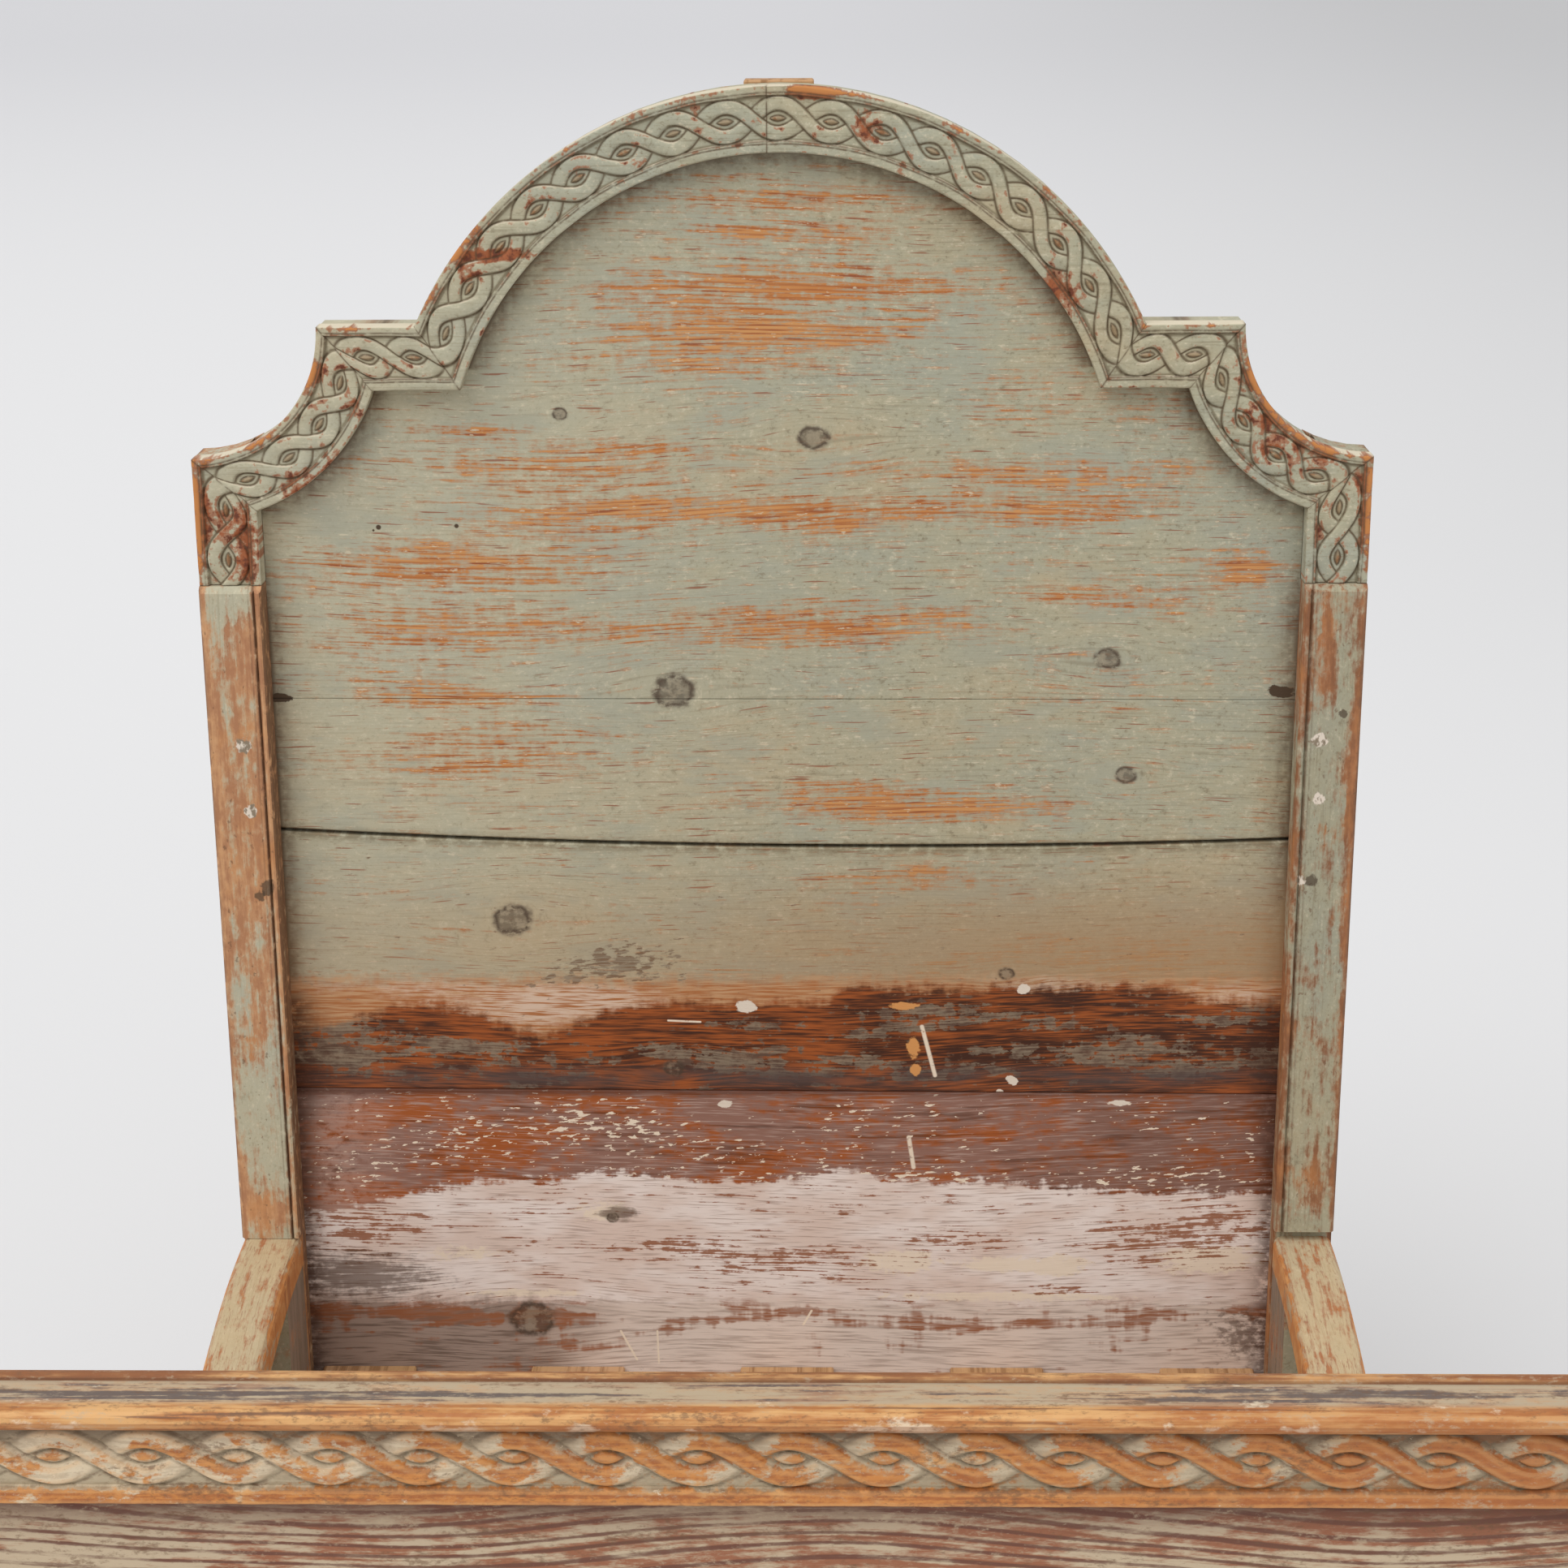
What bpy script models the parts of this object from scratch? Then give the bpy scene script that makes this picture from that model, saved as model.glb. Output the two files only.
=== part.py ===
"""Painted pine pull-out bed with a carved headboard, modelled closed.

X runs across the bed, +Y points to the headboard, Z is up, all in metres.
The origin is on the floor under the middle of the closed bed.
"""
import math

import bmesh
import bpy
from mathutils import Vector

# Driving dimensions of the whole bed
BED_WIDTH = 1.100
CROWN_Z = 1.587
STEP_Z = 1.372
STEP_INNER_X = 0.336
SHOULDER_RADIUS = 0.123
STUB_FOOT_Z = 1.1275
CROWN_JOINT_X = -0.0104
ARM_Z = 0.450
ARM_DROP = 0.088
HEAD_FRONT_Y = 0.591
FOOT_TOP_Z = 0.962
FOOT_BACK_Y = -0.611
LEG_TOP_Z = 0.160
FIT_GAP = 0.0003
HALF = BED_WIDTH / 2

# Carved band: outer fillet, sunk channel and inner fillet
BAND_WIDTH = 0.059
BAND_DEPTH = 0.022
OUTER_FILLET = 0.0085
INNER_FILLET = 0.0100
CHANNEL_DEPTH = 0.0045
CHANNEL_SLOPE = 0.0010
CHANNEL_HALF = (BAND_WIDTH - OUTER_FILLET - INNER_FILLET) / 2
CHANNEL_MIDDLE = OUTER_FILLET + CHANNEL_HALF
ARRIS = 0.0015
EASED_ANGLE = math.radians(30)
ARCH_STATIONS = 16
SHOULDER_STATIONS = 12

# Guilloche in the channel: two ribbons that cross at every turn, with a seed in each eye
RIBBON_HALF = 0.0075
RIBBON_SLOPE = 0.0008
RIBBON_GAP = 0.0005
RIBBON_TOP = 0.0007
RIBBON_DIP = 0.0022
ROOT_DEPTH = CHANNEL_DEPTH + 0.0010
SEED_HALF_LENGTH = 0.0055
SEED_HALF_WIDTH = 0.0022
SEED_TOP = 0.0022
SEED_TAPER = 0.45
SEED_SIDES = 6
RUN_MARGIN = FIT_GAP + 0.0002
LEAF_FOOTHOLD = 0.010
LEAF_STATIONS = 8
HALVINGS = 30
STUB_TURNS = 2
SHOULDER_TURNS = 4
STEP_TURNS = 2
ARCH_TURNS = 17
FRIEZE_PITCH = 0.0528
FRIEZE_EYE_X = 0.0278

# Headboard posts, facings and panel
POST_INNER_X = HALF - BAND_WIDTH
POST_FRONT_Y = HEAD_FRONT_Y + 0.005
POST_BACK_Y = HEAD_FRONT_Y + 0.058
POST_TOP_Z = STEP_Z - 0.090
HEAD_FOOT_SIZE = 0.038
CUT_OVERRUN = 0.010
HOLLOW_SIDES = 48
FACING_FRONT_Y = HEAD_FRONT_Y - 0.007
FACING_TOP_CHAMFER = 0.006
FACING_CHAMFER = 0.0025
FACING_BEAD = 0.0035
FACING_QUIRK_DEPTH = 0.0030
FACING_QUIRK_SLOPE = 0.0015
LEFT_FACING_LIFT = 0.0006
RIGHT_FACING_LIFT = 0.0100
PANEL_FRONT_Y = HEAD_FRONT_Y + BAND_DEPTH + FIT_GAP
PANEL_BACK_Y = HEAD_FRONT_Y + 0.050
PANEL_TONGUE = 0.008
PANEL_REVEAL = 0.001
BATTEN_WIDTH = 0.064
BATTEN_DEPTH = 0.022
BATTEN_FOOT_Z = 0.300
BATTEN_TOP_Z = CROWN_Z + 0.001

# Straight panel joints, given as the height at the left and at the right post
CREST_JOINT = (1.011, 1.008)
BOTTOM_JOINT = (0.603, 0.597)

# Open joint, given as (x, z) at the left post, at its lowest place and at the right post
OPEN_JOINT = ((-0.499, 0.8760), (0.100, 0.8577), (0.499, 0.8650))
OPEN_JOINT_GAP = 0.0035
OPEN_JOINT_STEPS = 12
HEAD_RAIL_Z = (0.200, 0.262)

# Fixed sides of the head section
ARM_WIDTH = 0.058
ARM_THICKNESS = 0.034
ARM_ROUND = 0.009
ARM_LEVEL_RUN = 0.030
ARM_CURVE_RUN = 0.520
ARM_END_Y = -0.580
ARM_STATIONS = 14
LEAST_STATION = 0.004
SIDE_OUTER_X = HALF - 0.001
SIDE_THICKNESS = 0.034
SIDE_INNER_X = SIDE_OUTER_X - SIDE_THICKNESS
SIDE_BOTTOM_Z = 0.160
STILE_FRONT_Y = HEAD_FRONT_Y - 0.085
STILE_INNER_X = 0.4925
FRONT_LEG_Y = (-0.575, -0.520)
FRONT_LEG_INNER_X = 0.4995
FRONT_FOOT_SIZE = 0.034

# Pull-out gear
SLIDE_INNER_X = 0.4925
SLIDE_THICKNESS = 0.020
SLIDE_Z = (0.198, 0.320)
SLIDE_REAR_Y = 0.450
RUNNER_INNER_X = 0.479
RUNNER_Z = (0.1655, 0.197)
LEG_NOTCH_Z = (RUNNER_Z[1] - 0.010, RUNNER_Z[1] - 0.001)
PULL_OUT = 0.680
CROSS_RAIL_Y = (-0.545, -0.5203)
CROSS_RAIL_UPPER_X = 0.4875
TIE_CLEARANCE = 0.002
TIE_FRONT_Y = CROSS_RAIL_Y[1] + PULL_OUT + TIE_CLEARANCE
TIE_DEPTH = 0.030
TIE_BOTTOM_Z = 0.214

# Bed bottom
SLAT_Z = (0.2735, 0.2915)
SLAT_FRONT_OVERHANG = 0.003
SLAT_REAR_OVERHANG = 0.020
SLAT_COUNT = 9
SLAT_PITCH = 0.108
SLAT_WIDTH = 0.096
BEARER_TOP_Z = SLAT_Z[0] - FIT_GAP
LEDGER_DEPTH = 0.034
LEDGER_BOTTOM_Z = 0.232
LEDGER_HALF = 0.489

# Footboard
CAP_HALF = 0.555
CAP_DEPTH = 0.0523
CAP_THICKNESS = 0.0185
CAP_BEAD = 0.0060
CAP_QUIRK = 0.0030
CAP_QUIRK_DEPTH = 0.0045
CAP_STRIP_DROP = 0.0010
NOSE_RADIUS = 0.0068
FRIEZE_HALF = 0.552
FRIEZE_FRONT_Y = -0.6503
FRIEZE_BACK_Y = -0.613
FRIEZE_FOOT_Z = 0.8944
FRIEZE_FILLET = 0.0102
FRIEZE_TOP_Z = FOOT_TOP_Z - CAP_THICKNESS - FIT_GAP
FRIEZE_CHANNEL_Z = FRIEZE_FOOT_Z + FRIEZE_FILLET
FOOT_POST_INNER_X = 0.4915
FOOT_POST_Y = (-0.648, -0.604)
FOOT_PANEL_Y = (-0.636, -0.612)
FOOT_JOINT_Z = 0.565
FOOT_RAIL_Z = (0.160, 0.240)
FOOT_RAIL_PROUD = 0.006
FOOT_FOOT_SIZE = 0.034

# Finishes read from the worn paint: linear colour and roughness
SAGE_PAINT = ((0.36, 0.31, 0.21), 0.62)
SAGE_LIGHT = ((0.42, 0.35, 0.24), 0.60)
WORN_ORANGE = ((0.44, 0.25, 0.13), 0.55)
BARE_PINE = ((0.46, 0.27, 0.13), 0.58)
CHALK_PAINT = ((0.52, 0.41, 0.33), 0.70)


# Scene and object helpers

def clear_scene():
    for old in list(bpy.data.objects):
        bpy.data.objects.remove(old, do_unlink=True)


def add_section(name, location):
    section = bpy.data.objects.new(name, None)
    section.location = location
    bpy.context.scene.collection.objects.link(section)
    return section


def make_finish(name, finish):
    colour, roughness = finish
    material = bpy.data.materials.new(name + "_finish")
    material.use_nodes = True
    shader = material.node_tree.nodes["Principled BSDF"]
    shader.inputs["Base Color"].default_value = (*colour, 1.0)
    shader.inputs["Roughness"].default_value = roughness
    shader.inputs["Metallic"].default_value = 0.0
    return material


def box_centre(bm):
    low = Vector([min(v.co[axis] for v in bm.verts) for axis in range(3)])
    high = Vector([max(v.co[axis] for v in bm.verts) for axis in range(3)])
    return (low + high) / 2


def add_piece(name, bm, finish, section):
    """Turn a mesh in world places into a named piece of one section of the bed."""
    centre = box_centre(bm)
    bmesh.ops.translate(bm, verts=bm.verts, vec=-centre)
    bmesh.ops.recalc_face_normals(bm, faces=bm.faces)
    mesh = bpy.data.meshes.new(name)
    bm.to_mesh(mesh)
    bm.free()
    mesh.shade_smooth()
    mesh.set_sharp_from_angle(angle=math.radians(35))
    mesh.materials.append(make_finish(name, finish))
    piece = bpy.data.objects.new(name, mesh)
    bpy.context.scene.collection.objects.link(piece)
    piece.parent = section
    piece.location = centre - section.location
    return piece


def combine(piece, name, bm, operation):
    """Cut a helper shape out of a piece, or join it on."""
    bmesh.ops.recalc_face_normals(bm, faces=bm.faces)
    mesh = bpy.data.meshes.new(name)
    bm.to_mesh(mesh)
    bm.free()
    helper = bpy.data.objects.new(name, mesh)
    helper.hide_render = True
    helper.display_type = "WIRE"
    bpy.context.scene.collection.objects.link(helper)
    modifier = piece.modifiers.new(name, "BOOLEAN")
    modifier.operation = operation
    modifier.solver = "EXACT"
    modifier.object = helper


def cut(piece, name, bm):
    combine(piece, name, bm, "DIFFERENCE")


def join(piece, name, bm):
    combine(piece, name, bm, "UNION")


# Shape helpers

def loft(rings, bm=None):
    """Skin a row of matching closed outlines and cap both ends."""
    bm = bm or bmesh.new()
    loops = [[bm.verts.new(point) for point in ring] for ring in rings]
    for near, far in zip(loops, loops[1:]):
        for i in range(len(near)):
            j = (i + 1) % len(near)
            bm.faces.new((near[i], near[j], far[j], far[i]))
    bm.faces.new(list(reversed(loops[0])))
    bm.faces.new(loops[-1])
    return bm


def plate(outline, y_front, y_back):
    """Extrude an outline of (x, z) points from front to back."""
    return loft([[(x, y, z) for x, z in outline] for y in (y_front, y_back)])


def length_of_profile(profile, x_start, x_end):
    """Run a profile of (y, z) points across the bed."""
    return loft([[(x, y, z) for y, z in profile] for x in (x_start, x_end)])


def rectangle(x_range, y_range, z):
    x0, x1 = x_range
    y0, y1 = y_range
    return [(x0, y0, z), (x1, y0, z), (x1, y1, z), (x0, y1, z)]


def plain_block(x_range, y_range, z_range):
    return loft([rectangle(x_range, y_range, z) for z in z_range])


def ease_edges(bm):
    """Break the sharp edges of a timber."""
    bmesh.ops.recalc_face_normals(bm, faces=bm.faces)
    sharp = [edge for edge in bm.edges if edge.calc_face_angle() > EASED_ANGLE]
    bmesh.ops.bevel(bm, geom=sharp, offset=ARRIS, segments=1, affect="EDGES")
    return bm


def block(x_range, y_range, z_range):
    """A planed timber with its edges eased."""
    return ease_edges(plain_block(x_range, y_range, z_range))


def sided(side, x_near, x_far):
    """An x range on the left (-1) or right (+1) half of the bed."""
    return tuple(sorted((side * x_near, side * x_far)))


def side_name(side):
    return "left" if side < 0 else "right"


def mix(a, b, t):
    return a + (b - a) * t


def arc(centre, radius, start_deg, end_deg, steps):
    points = []
    for i in range(steps + 1):
        angle = math.radians(mix(start_deg, end_deg, i / steps))
        points.append((centre[0] + radius * math.cos(angle), centre[1] + radius * math.sin(angle)))
    return points


# Outline of the headboard: arch, step, hollow shoulder and stub

ARCH_RISE = CROWN_Z - STEP_Z
ARCH_RADIUS = (STEP_INNER_X ** 2 + ARCH_RISE ** 2) / (2 * ARCH_RISE)
ARCH_CENTRE = Vector((0.0, CROWN_Z - ARCH_RADIUS))
SHOULDER_CENTRE = Vector((HALF, STEP_Z))
STEP_OUTER_X = HALF - SHOULDER_RADIUS
SHOULDER_Z = STEP_Z - SHOULDER_RADIUS
STEP_LOWER_Z = STEP_Z - BAND_WIDTH
ARCH_INNER_RADIUS = ARCH_RADIUS - BAND_WIDTH
SHOULDER_INNER_RADIUS = SHOULDER_RADIUS + BAND_WIDTH
SHOULDER_REACH = math.sqrt(SHOULDER_INNER_RADIUS ** 2 - BAND_WIDTH ** 2)
ARCH_INNER_X = math.sqrt(ARCH_INNER_RADIUS ** 2 - (STEP_LOWER_Z - ARCH_CENTRE.y) ** 2)

# Mitre lines, each from its outer to its inner corner, as (x, z)
STUB_FOOT = (Vector((HALF, STUB_FOOT_Z + FIT_GAP)), Vector((POST_INNER_X, STUB_FOOT_Z + FIT_GAP)))
SHOULDER_MITRE = (Vector((HALF, SHOULDER_Z)), Vector((POST_INNER_X, STEP_Z - SHOULDER_REACH)))
STEP_MITRE = (Vector((STEP_OUTER_X, STEP_Z)), Vector((HALF - SHOULDER_REACH, STEP_LOWER_Z)))
ARCH_MITRE = (Vector((STEP_INNER_X, STEP_Z)), Vector((ARCH_INNER_X, STEP_LOWER_Z)))


def crown_joint(side):
    """Upright butt joint of the two arch lengths, a little left of the crown."""
    x = side * CROWN_JOINT_X
    rises = [math.sqrt(radius ** 2 - x ** 2) for radius in (ARCH_RADIUS, ARCH_INNER_RADIUS)]
    return tuple(Vector((x, ARCH_CENTRE.y + rise)) for rise in rises)


def on_mitre(mitre, inset):
    return mitre[0].lerp(mitre[1], inset / BAND_WIDTH)


def straight_run(start, end):
    """Placing by inset from the outer edge and share of the run, with the run's middle length."""
    def place(inset, share):
        return on_mitre(start, inset).lerp(on_mitre(end, inset), share)
    return place, (place(BAND_WIDTH / 2, 1) - place(BAND_WIDTH / 2, 0)).length


def mitre_angle(mitre, centre, radius):
    """Angle at which the circle of this radius crosses a mitre line."""
    origin = mitre[0] - centre
    step = mitre[1] - mitre[0]
    a = step.dot(step)
    b = 2 * origin.dot(step)
    c = origin.dot(origin) - radius ** 2
    root = math.sqrt(max(b * b - 4 * a * c, 0.0))
    shares = [(-b - root) / (2 * a), (-b + root) / (2 * a)]
    share = min(shares, key=lambda value: abs(value - 0.5))
    point = origin + step * share
    return math.atan2(point.y, point.x)


def curved_run(start, end, centre, outer_radius, inward):
    """Like straight_run, round a centre; inward is -1 for an arch and +1 for a hollow."""
    def angles(radius):
        return [mitre_angle(mitre, centre, radius) % math.tau for mitre in (start, end)]

    def place(inset, share):
        radius = outer_radius + inward * inset
        angle = mix(*angles(radius), share)
        return centre + Vector((math.cos(angle), math.sin(angle))) * radius

    middle_radius = outer_radius + inward * BAND_WIDTH / 2
    first, last = angles(middle_radius)
    return place, middle_radius * abs(last - first)


def band_profile():
    """Section of the carved band as (inset from the outer edge, depth from the front)."""
    channel_start = OUTER_FILLET
    channel_end = BAND_WIDTH - INNER_FILLET
    return [
        (0.0, BAND_DEPTH),
        (0.0, ARRIS),
        (ARRIS, 0.0),
        (channel_start, 0.0),
        (channel_start + CHANNEL_SLOPE, CHANNEL_DEPTH),
        (channel_end - CHANNEL_SLOPE, CHANNEL_DEPTH),
        (channel_end, 0.0),
        (BAND_WIDTH - ARRIS, 0.0),
        (BAND_WIDTH, ARRIS),
        (BAND_WIDTH, BAND_DEPTH),
    ]


class Twist:
    """Guilloche along a channel: two ribbons that cross at every turn.

    Points are (along the run, across the channel, depth below the front). The ribbon on top
    falls from the outer to the inner side where hand is +1, and rises where it is -1.
    Turns of a ribbon are counted from the crossing at which it is on top.
    """

    def __init__(self, length, pitch, hand, half_channel, first_turn=0.0):
        self.length = length
        self.pitch = pitch
        self.first_turn = first_turn
        self.swing = -hand * (half_channel - CHANNEL_SLOPE - RIBBON_HALF - RIBBON_GAP)

    def middle(self, turn):
        return self.swing * math.sin(math.pi * turn)

    def slope(self, turn):
        return self.swing * math.pi / self.pitch * math.cos(math.pi * turn)

    def beside(self, turn, offset):
        """Point at an offset square to the ribbon's middle line, from its own crossing."""
        steep = math.hypot(1.0, self.slope(turn))
        along = turn * self.pitch - offset * self.slope(turn) / steep
        return along, self.middle(turn) + offset / steep

    def clear_of_other(self, along, across):
        """Whether a point is past the edge of the other ribbon."""
        turn = along / self.pitch
        distance = abs(across + self.middle(turn)) / math.hypot(1.0, self.slope(turn))
        return distance > RIBBON_HALF + RIBBON_GAP

    def end_turn(self, crossing, start, heading, offset):
        """Turn at which the ribbon dips under the other one or meets the end of the run."""
        shown = start
        hidden = heading
        for _ in range(HALVINGS):
            turn = (shown + hidden) / 2
            along, across = self.beside(turn, offset)
            inside = RUN_MARGIN < crossing + along < self.length - RUN_MARGIN
            if inside and (abs(turn) < 0.5 or self.clear_of_other(along, across)):
                shown = turn
            else:
                hidden = turn
        return shown

    def leaf(self, crossing):
        """Rings of the stretch of ribbon that is seen round one crossing, or none."""
        least = (LEAF_FOOTHOLD - crossing) / self.pitch
        most = (self.length - LEAF_FOOTHOLD - crossing) / self.pitch
        start = min(max(0.0, least), most)
        if abs(start) >= 0.5:
            return []
        top_half = RIBBON_HALF - RIBBON_SLOPE
        edges = []
        for offset in (RIBBON_HALF, top_half, -top_half, -RIBBON_HALF):
            ends = [self.end_turn(crossing, start, heading, offset) for heading in (-1.0, 1.0)]
            edges.append((offset, ends))
        return [self.leaf_ring(crossing, edges, i / LEAF_STATIONS) for i in range(LEAF_STATIONS + 1)]

    def leaf_ring(self, crossing, edges, share):
        ring = []
        for offset, ends in edges:
            turn = mix(*ends, share)
            along, across = self.beside(turn, offset)
            dip = RIBBON_DIP * max(-math.cos(math.pi * turn), 0.0) ** 2
            rooted = abs(offset) == RIBBON_HALF
            ring.append((crossing + along, across, ROOT_DEPTH if rooted else RIBBON_TOP + dip))
        return ring

    def seed(self, eye):
        """Rings of the raised seed in one eye, or none where the run ends in the eye."""
        if not LEAF_FOOTHOLD < eye < self.length - LEAF_FOOTHOLD:
            return []
        rings = []
        for size, depth in ((1.0, ROOT_DEPTH), (SEED_TAPER, SEED_TOP)):
            ring = []
            for i in range(SEED_SIDES):
                angle = math.tau * i / SEED_SIDES
                along = eye + size * SEED_HALF_LENGTH * math.cos(angle)
                ring.append((along, size * SEED_HALF_WIDTH * math.sin(angle), depth))
            rings.append(ring)
        return rings

    def solid(self, place):
        """All leaves and seeds as one mesh, put in the bed's frame by a placing function."""
        bm = bmesh.new()
        last_turn = self.first_turn + self.length / self.pitch
        for turn in range(math.floor(self.first_turn), math.ceil(last_turn) + 1):
            crossing = (turn - self.first_turn) * self.pitch
            for rings in (self.leaf(crossing), self.seed(crossing + self.pitch / 2)):
                if rings:
                    loft([[place(*point) for point in ring] for ring in rings], bm)
        return bm


def carved_length(run, stations, side):
    """Sweep the band along one run, held back by a joint gap at each end."""
    place, length = run
    held_back = FIT_GAP / length
    rings = []
    for k in range(stations + 1):
        share = mix(held_back, 1 - held_back, k / stations)
        ring = []
        for inset, depth in band_profile():
            spot = place(inset, share)
            ring.append((side * spot.x, HEAD_FRONT_Y + depth, spot.y))
        rings.append(ring)
    return loft(rings)


def add_carved_length(name, run, pitch, stations, side, section):
    place, length = run

    def in_channel(along, across, depth):
        spot = place(CHANNEL_MIDDLE - across, along / length)
        return side * spot.x, HEAD_FRONT_Y + depth, spot.y

    band = add_piece(name, carved_length(run, stations, side), SAGE_PAINT, section)
    twist = Twist(length, pitch, -side, CHANNEL_HALF)
    join(band, name + "_twist", twist.solid(in_channel))


def build_carved_frame(side, section):
    """Four lengths on each side, from the stub on the post to the joint at the crown."""
    stub = straight_run(STUB_FOOT, SHOULDER_MITRE)
    shoulder = curved_run(SHOULDER_MITRE, STEP_MITRE, SHOULDER_CENTRE, SHOULDER_RADIUS, 1)
    step = straight_run(STEP_MITRE, ARCH_MITRE)
    arches = {}
    for half in (-1, 1):
        arches[half] = curved_run(ARCH_MITRE, crown_joint(half), ARCH_CENTRE, ARCH_RADIUS, -1)
    arch_pitch = (arches[-1][1] + arches[1][1]) / ARCH_TURNS
    name = side_name(side) + "_carved_"
    add_carved_length(name + "stub", stub, stub[1] / STUB_TURNS, 1, side, section)
    shoulder_pitch = shoulder[1] / SHOULDER_TURNS
    add_carved_length(name + "shoulder", shoulder, shoulder_pitch, SHOULDER_STATIONS, side, section)
    add_carved_length(name + "step", step, step[1] / STEP_TURNS, 1, side, section)
    add_carved_length(name + "arch", arches[side], arch_pitch, ARCH_STATIONS, side, section)


# Headboard posts and facings

def tapered_post(x_range, y_range, top_z, foot_size):
    """A square post whose leg tapers to its foot, centred under the post."""
    x_mid = sum(x_range) / 2
    y_mid = sum(y_range) / 2
    half = foot_size / 2
    foot = rectangle((x_mid - half, x_mid + half), (y_mid - half, y_mid + half), 0.0)
    return loft([foot, rectangle(x_range, y_range, LEG_TOP_Z), rectangle(x_range, y_range, top_z)])


def build_head_post(side, section):
    name = f"{side_name(side)}_head_post"
    post_x = sided(side, POST_INNER_X, HALF)
    bm = tapered_post(post_x, (POST_FRONT_Y, POST_BACK_Y), POST_TOP_Z, HEAD_FOOT_SIZE)
    post = add_piece(name, bm, WORN_ORANGE if side < 0 else SAGE_PAINT, section)
    groove_x = sided(side, POST_INNER_X - CUT_OVERRUN, POST_INNER_X + PANEL_TONGUE + FIT_GAP)
    groove_y = (PANEL_FRONT_Y - FIT_GAP, PANEL_BACK_Y + FIT_GAP)
    cut(post, name + "_groove", plain_block(groove_x, groove_y, (HEAD_RAIL_Z[0], CROWN_Z)))
    rebate_x = sided(side, POST_INNER_X - CUT_OVERRUN, HALF + CUT_OVERRUN)
    rebate_y = (POST_FRONT_Y - CUT_OVERRUN, HEAD_FRONT_Y + BAND_DEPTH + FIT_GAP)
    cut(post, name + "_rebate", plain_block(rebate_x, rebate_y, (STUB_FOOT_Z, CROWN_Z)))
    last_angle = 360 - 360 / HOLLOW_SIDES
    hollow = arc((side * HALF, STEP_Z), SHOULDER_RADIUS + PANEL_REVEAL, 0, last_angle, HOLLOW_SIDES - 1)
    cut(post, name + "_hollow", plate(hollow, POST_FRONT_Y - CUT_OVERRUN, POST_BACK_Y + CUT_OVERRUN))


def facing_profile():
    """Plan of a facing as (distance from the inner edge, depth): bead, quirk, flat and chamfer."""
    thickness = POST_FRONT_Y - FIT_GAP - FACING_FRONT_Y
    bead = FACING_BEAD
    quirk_x = 2 * bead
    bead_arc = [(bead - x, bead - y) for x, y in arc((0, 0), bead, 0, 90, 3)]
    bead_arc += [(bead + x, bead - y) for x, y in arc((0, 0), bead, 90, 30, 2)[1:]]
    return [(0.0, thickness)] + bead_arc + [
        (quirk_x, FACING_QUIRK_DEPTH),
        (quirk_x + FACING_QUIRK_SLOPE, 0.0),
        (BAND_WIDTH - FACING_CHAMFER, 0.0),
        (BAND_WIDTH, FACING_CHAMFER),
        (BAND_WIDTH, thickness),
    ]


def build_facing(side, section):
    lift = LEFT_FACING_LIFT if side < 0 else RIGHT_FACING_LIFT
    rings = []
    for z in (ARM_Z + lift, STUB_FOOT_Z):
        rings.append([
            (side * (POST_INNER_X + across), FACING_FRONT_Y + depth, z)
            for across, depth in facing_profile()
        ])
    bm = loft(rings)
    bmesh.ops.recalc_face_normals(bm, faces=bm.faces)
    ridge = Vector((0.0, FACING_FRONT_Y + FACING_TOP_CHAMFER, STUB_FOOT_Z))
    cut_off = bmesh.ops.bisect_plane(
        bm, geom=bm.verts[:] + bm.edges[:] + bm.faces[:],
        plane_co=ridge, plane_no=Vector((0.0, -1.0, 1.0)), clear_outer=True,
    )
    edges = [item for item in cut_off["geom_cut"] if isinstance(item, bmesh.types.BMEdge)]
    bmesh.ops.holes_fill(bm, edges=edges)
    finish = WORN_ORANGE if side < 0 else SAGE_LIGHT
    add_piece(f"{side_name(side)}_post_facing", bm, finish, section)


# Headboard panel

def crest_half_outline():
    """Right half of the crest board, from the post groove up to the crown."""
    radius = SHOULDER_RADIUS + PANEL_REVEAL
    edge_x = POST_INNER_X - FIT_GAP
    start = 180 + math.degrees(math.acos((HALF - edge_x) / radius))
    shoulder = arc(SHOULDER_CENTRE, radius, start, 180, SHOULDER_STATIONS)[:-1]
    top_radius = ARCH_RADIUS - PANEL_REVEAL
    step_z = STEP_Z - PANEL_REVEAL
    arch_start = math.degrees(math.asin((step_z - ARCH_CENTRE.y) / top_radius))
    return [
        (POST_INNER_X + PANEL_TONGUE, STUB_FOOT_Z - FIT_GAP),
        (edge_x, STUB_FOOT_Z - FIT_GAP),
        *shoulder,
        (HALF - math.sqrt(radius ** 2 - PANEL_REVEAL ** 2), step_z),
        *arc(ARCH_CENTRE, top_radius, arch_start, 90, ARCH_STATIONS),
    ]


def straight_joint(heights):
    """Ends of a panel joint in the grooves of the left and the right post."""
    reach = POST_INNER_X + PANEL_TONGUE
    return [(-reach, heights[0]), (reach, heights[1])]


def open_joint_z(x):
    """Height of the joint that has opened: a parabola through its three given places."""
    height = 0.0
    for own_x, own_z in OPEN_JOINT:
        weight = 1.0
        for other_x, _ in OPEN_JOINT:
            if other_x != own_x:
                weight *= (x - other_x) / (own_x - other_x)
        height += weight * own_z
    return height


def open_joint():
    left_x = OPEN_JOINT[0][0]
    right_x = OPEN_JOINT[-1][0]
    places = [mix(left_x, right_x, i / OPEN_JOINT_STEPS) for i in range(OPEN_JOINT_STEPS + 1)]
    return [(x, open_joint_z(x)) for x in places]


def raised(joint, rise):
    return [(x, z + rise) for x, z in joint]


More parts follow.
